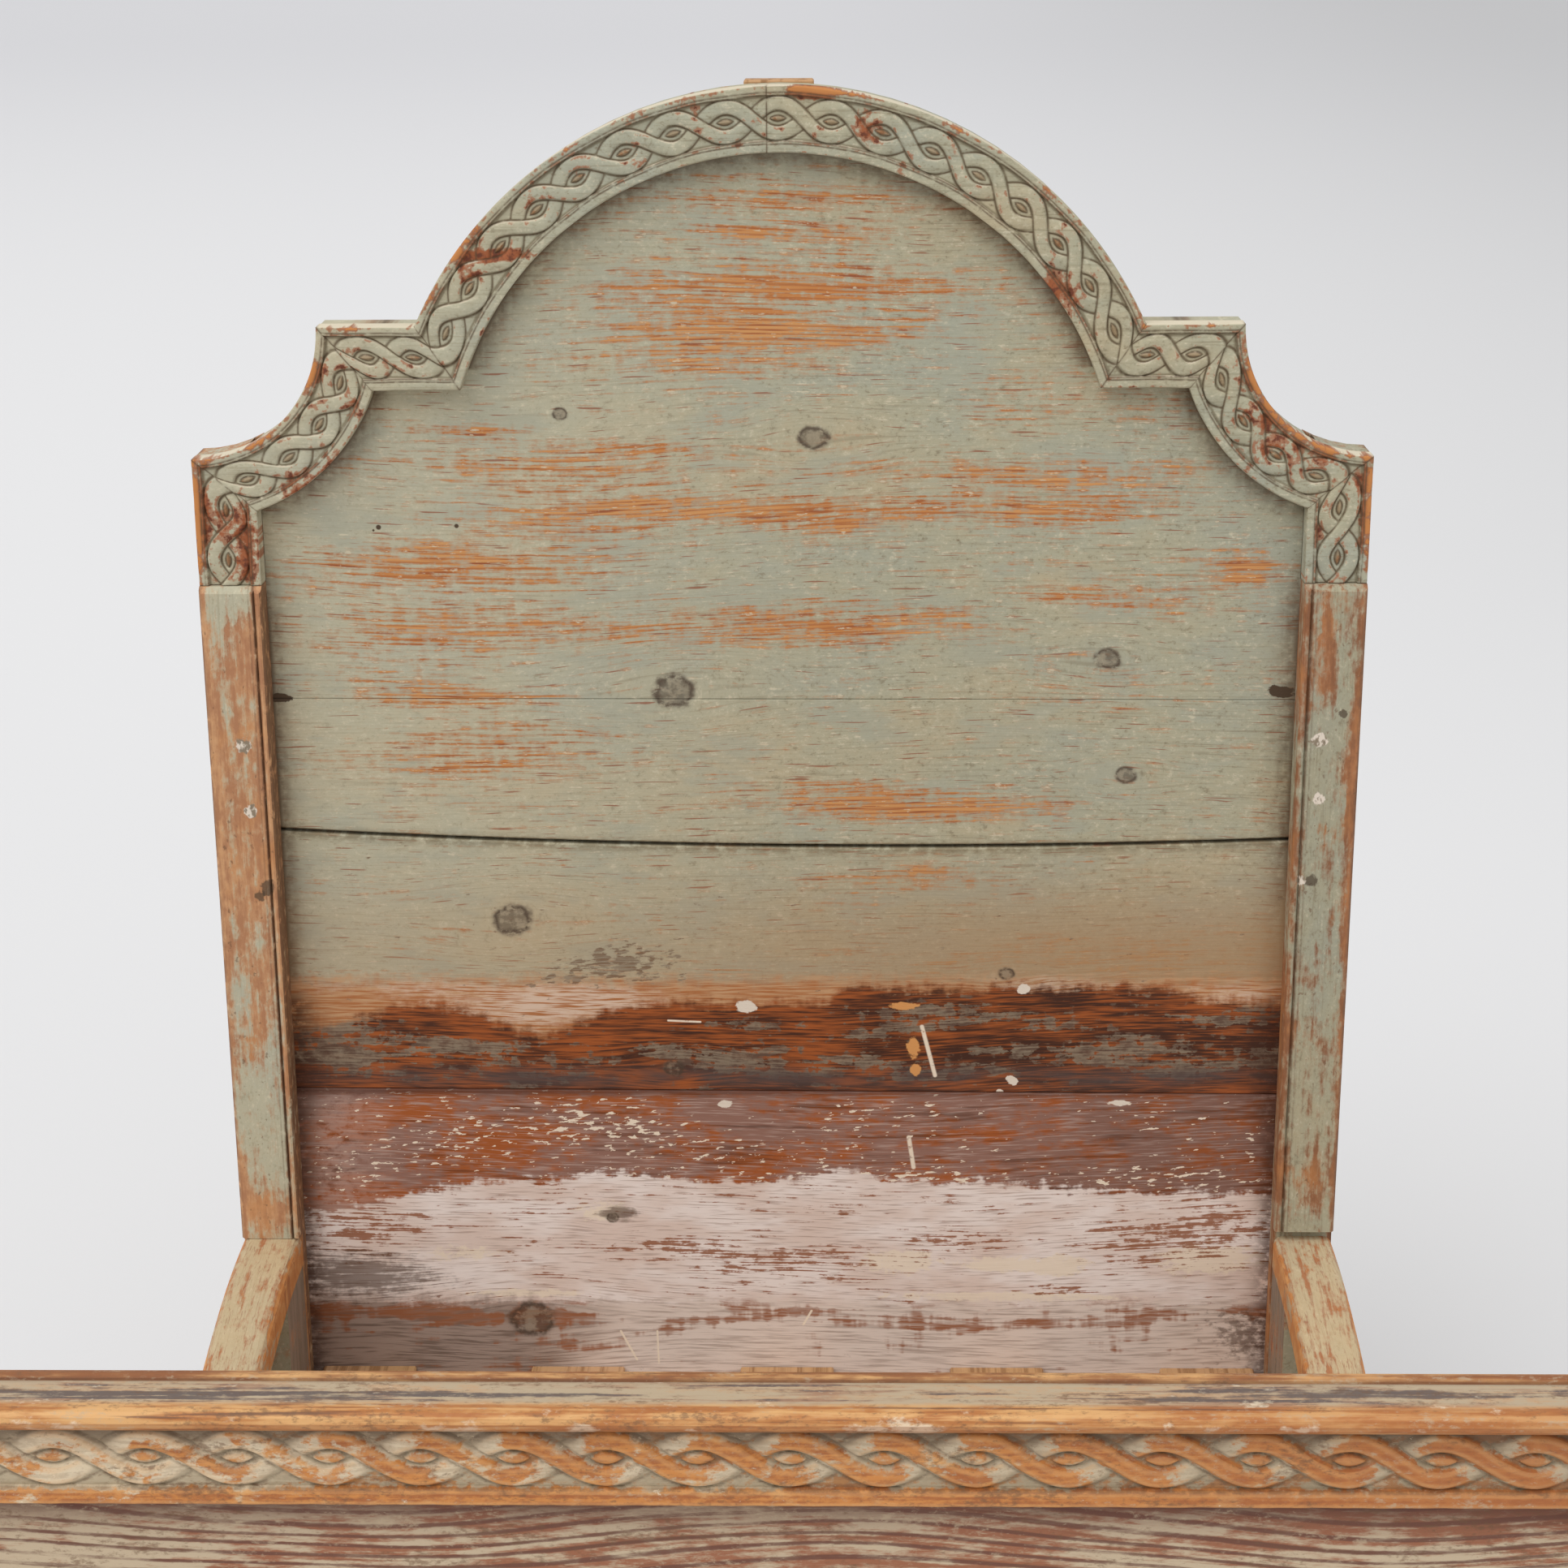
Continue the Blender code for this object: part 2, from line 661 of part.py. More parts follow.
def build_headboard_panel(section):
    half = crest_half_outline()
    crest_joint = straight_joint(CREST_JOINT)
    crest = raised(crest_joint, FIT_GAP) + half + [(-x, z) for x, z in reversed(half[:-1])]
    add_piece("crest_board", plate(crest, PANEL_FRONT_Y, PANEL_BACK_Y), SAGE_PAINT, section)
    bottom_joint = straight_joint(BOTTOM_JOINT)
    rail_joint = straight_joint((HEAD_RAIL_Z[1], HEAD_RAIL_Z[1]))
    boards = {
        "middle_board": (raised(open_joint(), OPEN_JOINT_GAP), crest_joint, SAGE_PAINT),
        "lower_board": (raised(bottom_joint, FIT_GAP), open_joint(), SAGE_LIGHT),
        "bottom_board": (raised(rail_joint, FIT_GAP), bottom_joint, CHALK_PAINT),
    }
    for name, (lower_edge, upper_edge, finish) in boards.items():
        outline = lower_edge + upper_edge[::-1]
        board = ease_edges(plate(outline, PANEL_FRONT_Y, PANEL_BACK_Y))
        add_piece(name, board, finish, section)


def build_headboard_back(section):
    rail_x = (-POST_INNER_X + FIT_GAP, POST_INNER_X - FIT_GAP)
    rail = block(rail_x, (PANEL_FRONT_Y, PANEL_BACK_Y), HEAD_RAIL_Z)
    add_piece("head_bottom_rail", rail, BARE_PINE, section)
    batten_y = (PANEL_BACK_Y + FIT_GAP, PANEL_BACK_Y + FIT_GAP + BATTEN_DEPTH)
    batten_x = (-BATTEN_WIDTH / 2, BATTEN_WIDTH / 2)
    batten = block(batten_x, batten_y, (BATTEN_FOOT_Z, BATTEN_TOP_Z))
    add_piece("back_batten", batten, BARE_PINE, section)


# Fixed sides

def arm_top(y):
    """Height of the arm: level at the post, then an easy sweep down, then level again."""
    along = (POST_FRONT_Y - ARM_LEVEL_RUN - y) / ARM_CURVE_RUN
    share = min(max(along, 0.0), 1.0)
    return ARM_Z - ARM_DROP * (1 - math.cos(math.pi * share)) / 2


def arm_stations(y_start, y_end):
    """Places along the arm, close together on the sweep only."""
    sweep_start = POST_FRONT_Y - ARM_LEVEL_RUN
    sweep = [sweep_start - ARM_CURVE_RUN * i / ARM_STATIONS for i in range(ARM_STATIONS + 1)]
    low, high = sorted((y_start, y_end))
    inside = [y for y in sweep if low + LEAST_STATION < y < high - LEAST_STATION]
    return [high] + inside + [low]


def arm_section():
    """Cross-section of the arm as (distance from its inner edge, height below its top)."""
    corner = arc((ARM_ROUND, -ARM_ROUND), ARM_ROUND, 180, 90, 3)
    mirrored = [(ARM_WIDTH - x, z) for x, z in reversed(corner)]
    return [(0.0, -ARM_THICKNESS)] + corner + mirrored + [(ARM_WIDTH, -ARM_THICKNESS)]


def build_arm(side, section):
    rings = []
    for y in arm_stations(POST_FRONT_Y - FIT_GAP, ARM_END_Y):
        rings.append([
            (side * (HALF - ARM_WIDTH + across), y, arm_top(y) + below)
            for across, below in arm_section()
        ])
    add_piece(f"{side_name(side)}_arm", loft(rings), SAGE_LIGHT, section)


def under_arm_board(side, x_near, x_far, y_start, y_end, bottom_z):
    """A board whose top edge follows the underside of the arm."""
    stations = arm_stations(y_start, y_end)
    outline = [(y, arm_top(y) - ARM_THICKNESS - FIT_GAP) for y in stations]
    outline += [(stations[-1], bottom_z), (stations[0], bottom_z)]
    return loft([[(side * x, y, z) for y, z in outline] for x in (x_near, x_far)])


def build_side(side, section):
    name = side_name(side)
    stile_rear = POST_FRONT_Y - FIT_GAP
    stile = under_arm_board(side, STILE_INNER_X, SIDE_OUTER_X, stile_rear, STILE_FRONT_Y, SIDE_BOTTOM_Z)
    add_piece(f"{name}_side_stile", stile, SAGE_LIGHT, section)
    board_ends = (STILE_FRONT_Y - FIT_GAP, FRONT_LEG_Y[1] + FIT_GAP)
    board = under_arm_board(side, SIDE_INNER_X, SIDE_OUTER_X, *board_ends, SIDE_BOTTOM_Z)
    add_piece(f"{name}_side_board", board, SAGE_LIGHT, section)
    runner_x = sided(side, RUNNER_INNER_X, SIDE_INNER_X - FIT_GAP)
    runner = block(runner_x, (board_ends[1], board_ends[0]), RUNNER_Z)
    add_piece(f"{name}_runner", runner, BARE_PINE, section)


def build_front_leg(side, section):
    """Leg under the free end of a side, notched above for the slide rail."""
    half_foot = FRONT_FOOT_SIZE / 2
    y_mid = sum(FRONT_LEG_Y) / 2
    x_mid = (FRONT_LEG_INNER_X + SIDE_OUTER_X) / 2
    full_x = sided(side, FRONT_LEG_INNER_X, SIDE_OUTER_X)
    thin_x = sided(side, SIDE_INNER_X, SIDE_OUTER_X)
    foot_x = sided(side, x_mid - half_foot, x_mid + half_foot)
    top_z = arm_top(y_mid) - ARM_THICKNESS - FIT_GAP
    rings = [
        rectangle(foot_x, (y_mid - half_foot, y_mid + half_foot), 0.0),
        rectangle(full_x, FRONT_LEG_Y, LEG_TOP_Z),
        rectangle(full_x, FRONT_LEG_Y, LEG_NOTCH_Z[0]),
        rectangle(thin_x, FRONT_LEG_Y, LEG_NOTCH_Z[1]),
        rectangle(thin_x, FRONT_LEG_Y, top_z),
    ]
    add_piece(f"{side_name(side)}_front_leg", loft(rings), SAGE_LIGHT, section)


# Bed bottom and pull-out gear

def build_bearers(head, foot):
    ledger_x = (-LEDGER_HALF, LEDGER_HALF)
    ledger_z = (LEDGER_BOTTOM_Z, BEARER_TOP_Z)
    head_ledger_y = (PANEL_FRONT_Y - FIT_GAP - LEDGER_DEPTH, PANEL_FRONT_Y - FIT_GAP)
    add_piece("head_ledger", block(ledger_x, head_ledger_y, ledger_z), BARE_PINE, head)
    foot_ledger_y = (FOOT_PANEL_Y[1] + FIT_GAP, FOOT_PANEL_Y[1] + FIT_GAP + LEDGER_DEPTH)
    add_piece("foot_ledger", block(ledger_x, foot_ledger_y, ledger_z), BARE_PINE, foot)
    end_x = FRONT_LEG_INNER_X - FIT_GAP
    notch_z = RUNNER_Z[1]
    half = [
        (end_x, RUNNER_Z[0]),
        (end_x, notch_z),
        (CROSS_RAIL_UPPER_X, notch_z),
        (CROSS_RAIL_UPPER_X, BEARER_TOP_Z),
    ]
    outline = half + [(-x, z) for x, z in reversed(half)]
    add_piece("head_cross_rail", plate(outline, *CROSS_RAIL_Y), BARE_PINE, head)
    tie_x = (-SLIDE_INNER_X + FIT_GAP, SLIDE_INNER_X - FIT_GAP)
    tie_y = (TIE_FRONT_Y, TIE_FRONT_Y + TIE_DEPTH)
    add_piece("foot_tie_bar", block(tie_x, tie_y, (TIE_BOTTOM_Z, BEARER_TOP_Z)), BARE_PINE, foot)


def build_slats(head, foot):
    """Slats lie side by side, head and foot ones in turn, so that they pass each other."""
    head_y = (CROSS_RAIL_Y[0] - SLAT_FRONT_OVERHANG, PANEL_FRONT_Y - FIT_GAP)
    foot_y = (FOOT_PANEL_Y[1] + FIT_GAP, TIE_FRONT_Y + TIE_DEPTH + SLAT_REAR_OVERHANG)
    for i in range(SLAT_COUNT):
        middle = (i - (SLAT_COUNT - 1) / 2) * SLAT_PITCH
        slat_x = (middle - SLAT_WIDTH / 2, middle + SLAT_WIDTH / 2)
        if i % 2 == 0:
            add_piece(f"head_slat_{i // 2 + 1}", block(slat_x, head_y, SLAT_Z), BARE_PINE, head)
        else:
            add_piece(f"foot_slat_{i // 2 + 1}", block(slat_x, foot_y, SLAT_Z), BARE_PINE, foot)


def build_slide_rail(side, section):
    rail_x = sided(side, SLIDE_INNER_X, SLIDE_INNER_X + SLIDE_THICKNESS)
    rail = block(rail_x, (FOOT_POST_Y[1] + FIT_GAP, SLIDE_REAR_Y), SLIDE_Z)
    add_piece(f"{side_name(side)}_slide_rail", rail, BARE_PINE, section)


# Footboard

def cap_profile():
    """Moulded cap as (y, z): bead at the back, quirk, flat strip and round nose in front."""
    back = FOOT_BACK_Y
    front = FOOT_BACK_Y - CAP_DEPTH
    top = FOOT_TOP_Z
    bottom = top - CAP_THICKNESS
    bead = arc((back - CAP_BEAD, top - CAP_BEAD), CAP_BEAD, 0, 170, 5)
    strip = top - CAP_STRIP_DROP
    nose_centre = (front + NOSE_RADIUS, strip - NOSE_RADIUS)
    nose = arc(nose_centre, NOSE_RADIUS, 90, 270, 6)
    quirk_y = back - 2 * CAP_BEAD - CAP_QUIRK
    return [
        (back, bottom),
        *bead,
        (quirk_y + CAP_QUIRK / 2, top - CAP_QUIRK_DEPTH),
        (quirk_y, strip),
        *nose,
        (FRIEZE_FRONT_Y, nose_centre[1] - NOSE_RADIUS),
        (FRIEZE_FRONT_Y, bottom),
    ]


def frieze_profile():
    """Carved rail under the cap as (y, z): sunk channel above, plain fillet below."""
    floor_y = FRIEZE_FRONT_Y + CHANNEL_DEPTH
    return [
        (FRIEZE_BACK_Y, FRIEZE_FOOT_Z),
        (FRIEZE_BACK_Y, FRIEZE_TOP_Z),
        (floor_y, FRIEZE_TOP_Z),
        (floor_y, FRIEZE_CHANNEL_Z + CHANNEL_SLOPE),
        (FRIEZE_FRONT_Y, FRIEZE_CHANNEL_Z),
        (FRIEZE_FRONT_Y, FRIEZE_FOOT_Z + ARRIS),
        (FRIEZE_FRONT_Y + ARRIS, FRIEZE_FOOT_Z),
    ]


def build_foot_top(section):
    cap = length_of_profile(cap_profile(), -CAP_HALF, CAP_HALF)
    add_piece("foot_cap_rail", cap, WORN_ORANGE, section)
    bm = length_of_profile(frieze_profile(), -FRIEZE_HALF, FRIEZE_HALF)
    frieze = add_piece("foot_carved_frieze", bm, WORN_ORANGE, section)
    half_channel = (FRIEZE_TOP_Z - FRIEZE_CHANNEL_Z) / 2
    first_turn = 0.5 - (FRIEZE_EYE_X + FRIEZE_HALF) / FRIEZE_PITCH
    twist = Twist(2 * FRIEZE_HALF, FRIEZE_PITCH, 1, half_channel, first_turn)

    def in_channel(along, across, depth):
        return along - FRIEZE_HALF, FRIEZE_FRONT_Y + depth, FRIEZE_CHANNEL_Z + half_channel + across

    join(frieze, "foot_frieze_twist", twist.solid(in_channel))


def build_foot_post(side, section):
    name = f"{side_name(side)}_foot_post"
    post_x = sided(side, FOOT_POST_INNER_X, HALF)
    bm = tapered_post(post_x, FOOT_POST_Y, FRIEZE_FOOT_Z - FIT_GAP, FOOT_FOOT_SIZE)
    post = add_piece(name, bm, WORN_ORANGE, section)
    groove_end = FOOT_POST_INNER_X + PANEL_TONGUE + FIT_GAP
    groove_x = sided(side, FOOT_POST_INNER_X - CUT_OVERRUN, groove_end)
    groove_y = (FOOT_PANEL_Y[0] - FIT_GAP, FOOT_PANEL_Y[1] + FIT_GAP)
    groove_z = (FOOT_RAIL_Z[1], FOOT_TOP_Z)
    cut(post, name + "_groove", plain_block(groove_x, groove_y, groove_z))


def build_foot_panel(section):
    panel_x = (-FOOT_POST_INNER_X - PANEL_TONGUE, FOOT_POST_INNER_X + PANEL_TONGUE)
    upper_z = (FOOT_JOINT_Z + FIT_GAP, FRIEZE_FOOT_Z - FIT_GAP)
    lower_z = (FOOT_RAIL_Z[1] + FIT_GAP, FOOT_JOINT_Z)
    add_piece("foot_upper_board", block(panel_x, FOOT_PANEL_Y, upper_z), BARE_PINE, section)
    add_piece("foot_lower_board", block(panel_x, FOOT_PANEL_Y, lower_z), BARE_PINE, section)
    rail_x = (-FOOT_POST_INNER_X + FIT_GAP, FOOT_POST_INNER_X - FIT_GAP)
    rail_y = (FOOT_PANEL_Y[0] - FOOT_RAIL_PROUD, FOOT_PANEL_Y[1])
    add_piece("foot_bottom_rail", block(rail_x, rail_y, FOOT_RAIL_Z), WORN_ORANGE, section)


def build_bed():
    clear_scene()
    head = add_section("head_section", Vector((0.0, HEAD_FRONT_Y, 0.0)))
    slide_axis_z = sum(SLIDE_Z) / 2
    foot = add_section("foot_section", Vector((0.0, FOOT_POST_Y[1], slide_axis_z)))
    for side in (-1, 1):
        build_head_post(side, head)
        build_facing(side, head)
        build_carved_frame(side, head)
        build_arm(side, head)
        build_side(side, head)
        build_front_leg(side, head)
        build_slide_rail(side, foot)
        build_foot_post(side, foot)
    build_headboard_panel(head)
    build_headboard_back(head)
    build_bearers(head, foot)
    build_slats(head, foot)
    build_foot_top(foot)
    build_foot_panel(foot)


build_bed()
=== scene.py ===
"""Looks of a painted pine pull-out bed: carved guilloche, worn paint and bare wood."""
import math
from functools import partial, partialmethod
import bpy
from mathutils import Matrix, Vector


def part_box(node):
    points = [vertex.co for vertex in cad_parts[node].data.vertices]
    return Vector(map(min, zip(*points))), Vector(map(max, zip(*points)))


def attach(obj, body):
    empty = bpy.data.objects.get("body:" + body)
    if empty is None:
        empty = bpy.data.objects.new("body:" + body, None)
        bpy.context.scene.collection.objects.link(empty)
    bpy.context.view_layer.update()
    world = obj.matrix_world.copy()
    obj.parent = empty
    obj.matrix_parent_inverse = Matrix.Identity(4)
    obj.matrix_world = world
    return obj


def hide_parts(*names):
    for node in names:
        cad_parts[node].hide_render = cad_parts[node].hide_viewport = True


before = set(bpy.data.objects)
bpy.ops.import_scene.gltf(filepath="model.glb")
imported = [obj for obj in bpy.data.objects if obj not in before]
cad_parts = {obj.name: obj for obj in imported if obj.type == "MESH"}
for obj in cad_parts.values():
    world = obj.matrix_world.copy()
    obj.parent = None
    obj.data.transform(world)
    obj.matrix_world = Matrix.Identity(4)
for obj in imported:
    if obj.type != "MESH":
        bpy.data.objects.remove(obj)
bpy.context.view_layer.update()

from types import SimpleNamespace

import bpy
import numpy as np
from mathutils import Matrix, Vector

# Picture: size in pixels, and the camera that a fit to the headboard's corners gives
PHOTO_SIZE = 1932
FOCAL_PIXELS = 3700
SENSOR_WIDTH = 36.0
CAMERA_PLACE = Vector((0.0572, -2.1583, 1.8122))
CAMERA_PITCH = 0.3102
CAMERA_YAW = -0.0203
CAMERA_ROLL = -0.0071

# Light: even sky light, a broad sun from the upper left and a weaker one from the right
SKY_STRENGTH = 0.66
KEY_STRENGTH = 1.45
KEY_ANGLE = math.radians(48)
KEY_TILT = (math.radians(40), 0.0, math.radians(-44))
FILL_STRENGTH = 0.4
FILL_ANGLE = math.radians(70)
FILL_TILT = (math.radians(48), 0.0, math.radians(48))
FLOOR_REACH = 70.0

# Headboard sizes, taken from the frame
STUB_LOW, STUB_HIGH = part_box("right_carved_stub")
ARCH_LOW, ARCH_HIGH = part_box("right_carved_arch")
STEP_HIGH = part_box("right_carved_step")[1]
HALF = STUB_HIGH.x
POST_INNER = STUB_LOW.x
BAND = HALF - POST_INNER
STEP_Z = STEP_HIGH.z
STEP_OUTER = STEP_HIGH.x
STEP_INNER = ARCH_HIGH.x
CROWN_Z = ARCH_HIGH.z
JOINT_X = ARCH_LOW.x
SHOULDER_RADIUS = HALF - STEP_OUTER
SHOULDER_CENTRE = (HALF, STEP_Z)
ARCH_RISE = CROWN_Z - STEP_Z
ARCH_RADIUS = (STEP_INNER ** 2 + ARCH_RISE ** 2) / (2 * ARCH_RISE)
ARCH_INNER_RADIUS = ARCH_RADIUS - BAND
ARCH_CENTRE = (0.0, CROWN_Z - ARCH_RADIUS)

# Footboard sizes, taken from the frame
FRIEZE_LOW, FRIEZE_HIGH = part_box("foot_carved_frieze")
CAP_BACK_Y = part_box("foot_cap_rail")[1].y

# Carving, in metres: fillets, sunk channel, two ribbons that twist in it and cut lines along them
OUTER_FILLET = 0.0085
INNER_FILLET = 0.01
FRIEZE_FILLET = 0.0102
CHANNEL_WALL = 0.0009
RIBBON_TOP = 0.0012
RIBBON_SIDE_GAP = 0.0003
CUT_WIDTH = 0.0008
CUT_DEPTH = 0.0006
QUIRK_INSET = 0.0024
ARRIS = 0.0016
HEADBOARD_RELIEF = SimpleNamespace(
    ribbon=0.013, edge=0.0014, crown=0.001, floor=0.0036, dip=0.0022,
    seed=0.0026, seed_length=0.0145, seed_width=0.005)
FRIEZE_RELIEF = SimpleNamespace(
    ribbon=0.0146, edge=0.0032, crown=0.0012, floor=0.0042, dip=0.0034,
    seed=0.0032, seed_length=0.02, seed_width=0.0084)

# Shares in the carving: how late a ribbon dips under, a seed's soft rim and how far its cut reaches
DIP_POWER = 1.4
SEED_RIM = (1.1, 0.8)
SEED_CUT_SHARE = 0.55

# Turns of the twist on each length of the frame, and its pitch and one eye's place on the frieze
STUB_TURNS = 2
SHOULDER_TURNS = 4
STEP_TURNS = 2
ARCH_TURNS = 17
FRIEZE_PITCH = 0.0528
FRIEZE_EYE_X = 0.0278

# Unevenness of the hand: how far lines, turns and surfaces stray, and how quickly that changes
INSET_STRAY = 0.0005
TURN_STRAY = 0.012
HEADBOARD_STRAY = SimpleNamespace(depth=0.00025, slow=0.55, quick=1.9)
FRIEZE_STRAY = SimpleNamespace(depth=0.0003, slow=0.5, quick=1.6)

# Carved meshes: cell sizes, reach in cells of the mean that shows hollows, a full hollow, sharp edges
ALONG_GRID = 0.001
ACROSS_GRID = 0.00075
HOLLOW_REACH = 4
HOLLOW_DEPTH = 0.001
SHARP_ANGLE = math.radians(55)

# Finish of every material, and the colour sockets of a mix node: two inputs and the output
SPECULAR = 0.35
BUMP_STRENGTH = 0.8
MIX_FIRST = 6
MIX_SECOND = 7
MIX_RESULT = 2


def srgb(red, green, blue):
    """A colour read on the usual 0 to 255 scale, as linear light."""
    linear = [((c / 255 + 0.055) / 1.055) ** 2.4 for c in (red, green, blue)]
    return (*linear, 1.0)


# Colours of paint and wood
SAGE_COOL = srgb(166, 167, 149)
SAGE_GREEN = srgb(174, 170, 145)
SAGE_WARM = srgb(182, 170, 140)
SAGE_PALE = srgb(206, 198, 172)
SAGE_DARK = srgb(124, 112, 86)
OLIVE_TAN = srgb(168, 134, 96)
CREAM_SAGE = srgb(206, 175, 131)
PINE_ORANGE = srgb(193, 128, 71)
PINE_DARK = srgb(154, 84, 46)
PINE_PALE = srgb(204, 148, 92)
PINE_TAN = srgb(206, 154, 108)
RED_BROWN = srgb(142, 78, 50)
THIN_FILM = srgb(178, 134, 100)
POST_BROWN = srgb(172, 116, 78)
POST_SHADE = srgb(96, 70, 50)
POST_RUST = srgb(174, 112, 68)
POST_DARK = srgb(136, 84, 50)
CHIP_BROWN = srgb(156, 90, 54)
CHIP_DARK = srgb(104, 56, 38)
SPECK = srgb(112, 82, 58)
GRIME = srgb(78, 62, 46)
# Dirt with painted shadow along the panel's frame and posts
FRAME_DIRT_AND_SHADOW = srgb(86, 63, 41)
KNOT_BROWN = srgb(74, 58, 46)
# Painted light on the top faces of the carved frame
TOP_PAINTED_LIGHT = srgb(222, 210, 186)
# Painted shade in cut lines and quirks, and the dark mitre joints
CUT_LINE = srgb(92, 72, 50)
SEED_BROWN = srgb(140, 108, 70)
PLASTER = srgb(226, 214, 198)
AGED_PINE = srgb(188, 146, 100)
AGED_PINE_DARK = srgb(142, 100, 62)

# Colours of the lower boards
BARE_TAN = srgb(194, 152, 112)
BARE_ORANGE = srgb(172, 110, 64)
PINK_CHALK = srgb(214, 188, 166)
BROWN_STAIN = srgb(162, 86, 38)
BROWN_DEEP = srgb(66, 36, 22)
STAIN_GREY = srgb(140, 126, 106)
STAIN_BLUE = srgb(84, 70, 66)
LEDGE_BROWN = srgb(88, 52, 38)
FILM_ORANGE = srgb(164, 88, 40)
FILM_MAUVE = srgb(146, 108, 94)
FILM_LILAC = srgb(190, 164, 152)
CREAM = srgb(236, 220, 198)
CHALK = srgb(238, 226, 219)
CHALK_PINK = srgb(224, 204, 192)
CHALK_LINE = srgb(162, 134, 120)
WORN_BROWN = srgb(150, 92, 58)
SCUFF = srgb(98, 76, 62)
SCRUBBED = srgb(224, 208, 196)
SCRUBBED_DARK = srgb(142, 118, 104)
CHIP_TAN = srgb(214, 152, 90)

# Colours of the footboard and the floor
FOOT_WOOD = srgb(181, 119, 66)
FOOT_WOOD_PALE = srgb(216, 167, 110)
FOOT_DARK = srgb(104, 72, 54)
STRIP_BEIGE = srgb(184, 164, 136)
STRIP_BLUE = srgb(92, 82, 80)
FOOT_RED = srgb(153, 99, 71)
FOOT_SCUFF = srgb(230, 212, 184)
FOOT_GROWTH = srgb(103, 66, 54)
FOOT_BEIGE = srgb(193, 173, 145)
FRIEZE_WOOD = srgb(200, 132, 70)
FRIEZE_BROWN = srgb(164, 98, 54)
FRIEZE_PAINT = srgb(220, 204, 175)
FLOOR_NEAR = srgb(224, 224, 225)
FLOOR_FAR = srgb(205, 205, 208)
FLOOR_RIGHT = srgb(178, 178, 179)


# Fields: sockets of a node tree that sums can use like numbers

def plug(tree, slot, value):
    if isinstance(value, Field):
        tree.links.new(value.socket, slot)
    else:
        slot.default_value = value


def add_node(tree, kind, inputs, output=0, **settings):
    """A field from a new node whose inputs take fields or plain values."""
    node = tree.nodes.new("ShaderNode" + kind)
    for name, value in settings.items():
        setattr(node, name, value)
    for slot, value in inputs.items():
        plug(tree, node.inputs[slot], value)
    return Field(tree, node.outputs[output])


class Field:
    """One output socket of a material's nodes."""

    def __init__(self, tree, socket):
        self.tree = tree
        self.socket = socket

    def math(self, operation, *others):
        return add_node(self.tree, "Math", dict(enumerate((self, *others))), operation=operation)

    __add__ = partialmethod(math, "ADD")
    __sub__ = partialmethod(math, "SUBTRACT")
    __mul__ = partialmethod(math, "MULTIPLY")
    __truediv__ = partialmethod(math, "DIVIDE")
    __abs__ = partialmethod(math, "ABSOLUTE")
    larger = partialmethod(math, "MAXIMUM")
    smaller = partialmethod(math, "MINIMUM")

    def falloff(self):
        """A bell curve: one at zero, fading out towards two."""
        return (self * self * -1.0).math("EXPONENT")

    def near(self, centre, width):
        """A bell curve round a value."""
        return ((self - centre) / width).falloff()

    def step(self, start, end):
        """Smooth step from zero at the start to one at the end, which may be the lower value."""
        inputs = {"Value": self, "From Min": start, "From Max": end}
        return add_node(self.tree, "MapRange", inputs, interpolation_type="SMOOTHSTEP")


def span(across, up):
    """Length of a step across and up."""
    return (across * across + up * up).math("SQRT")


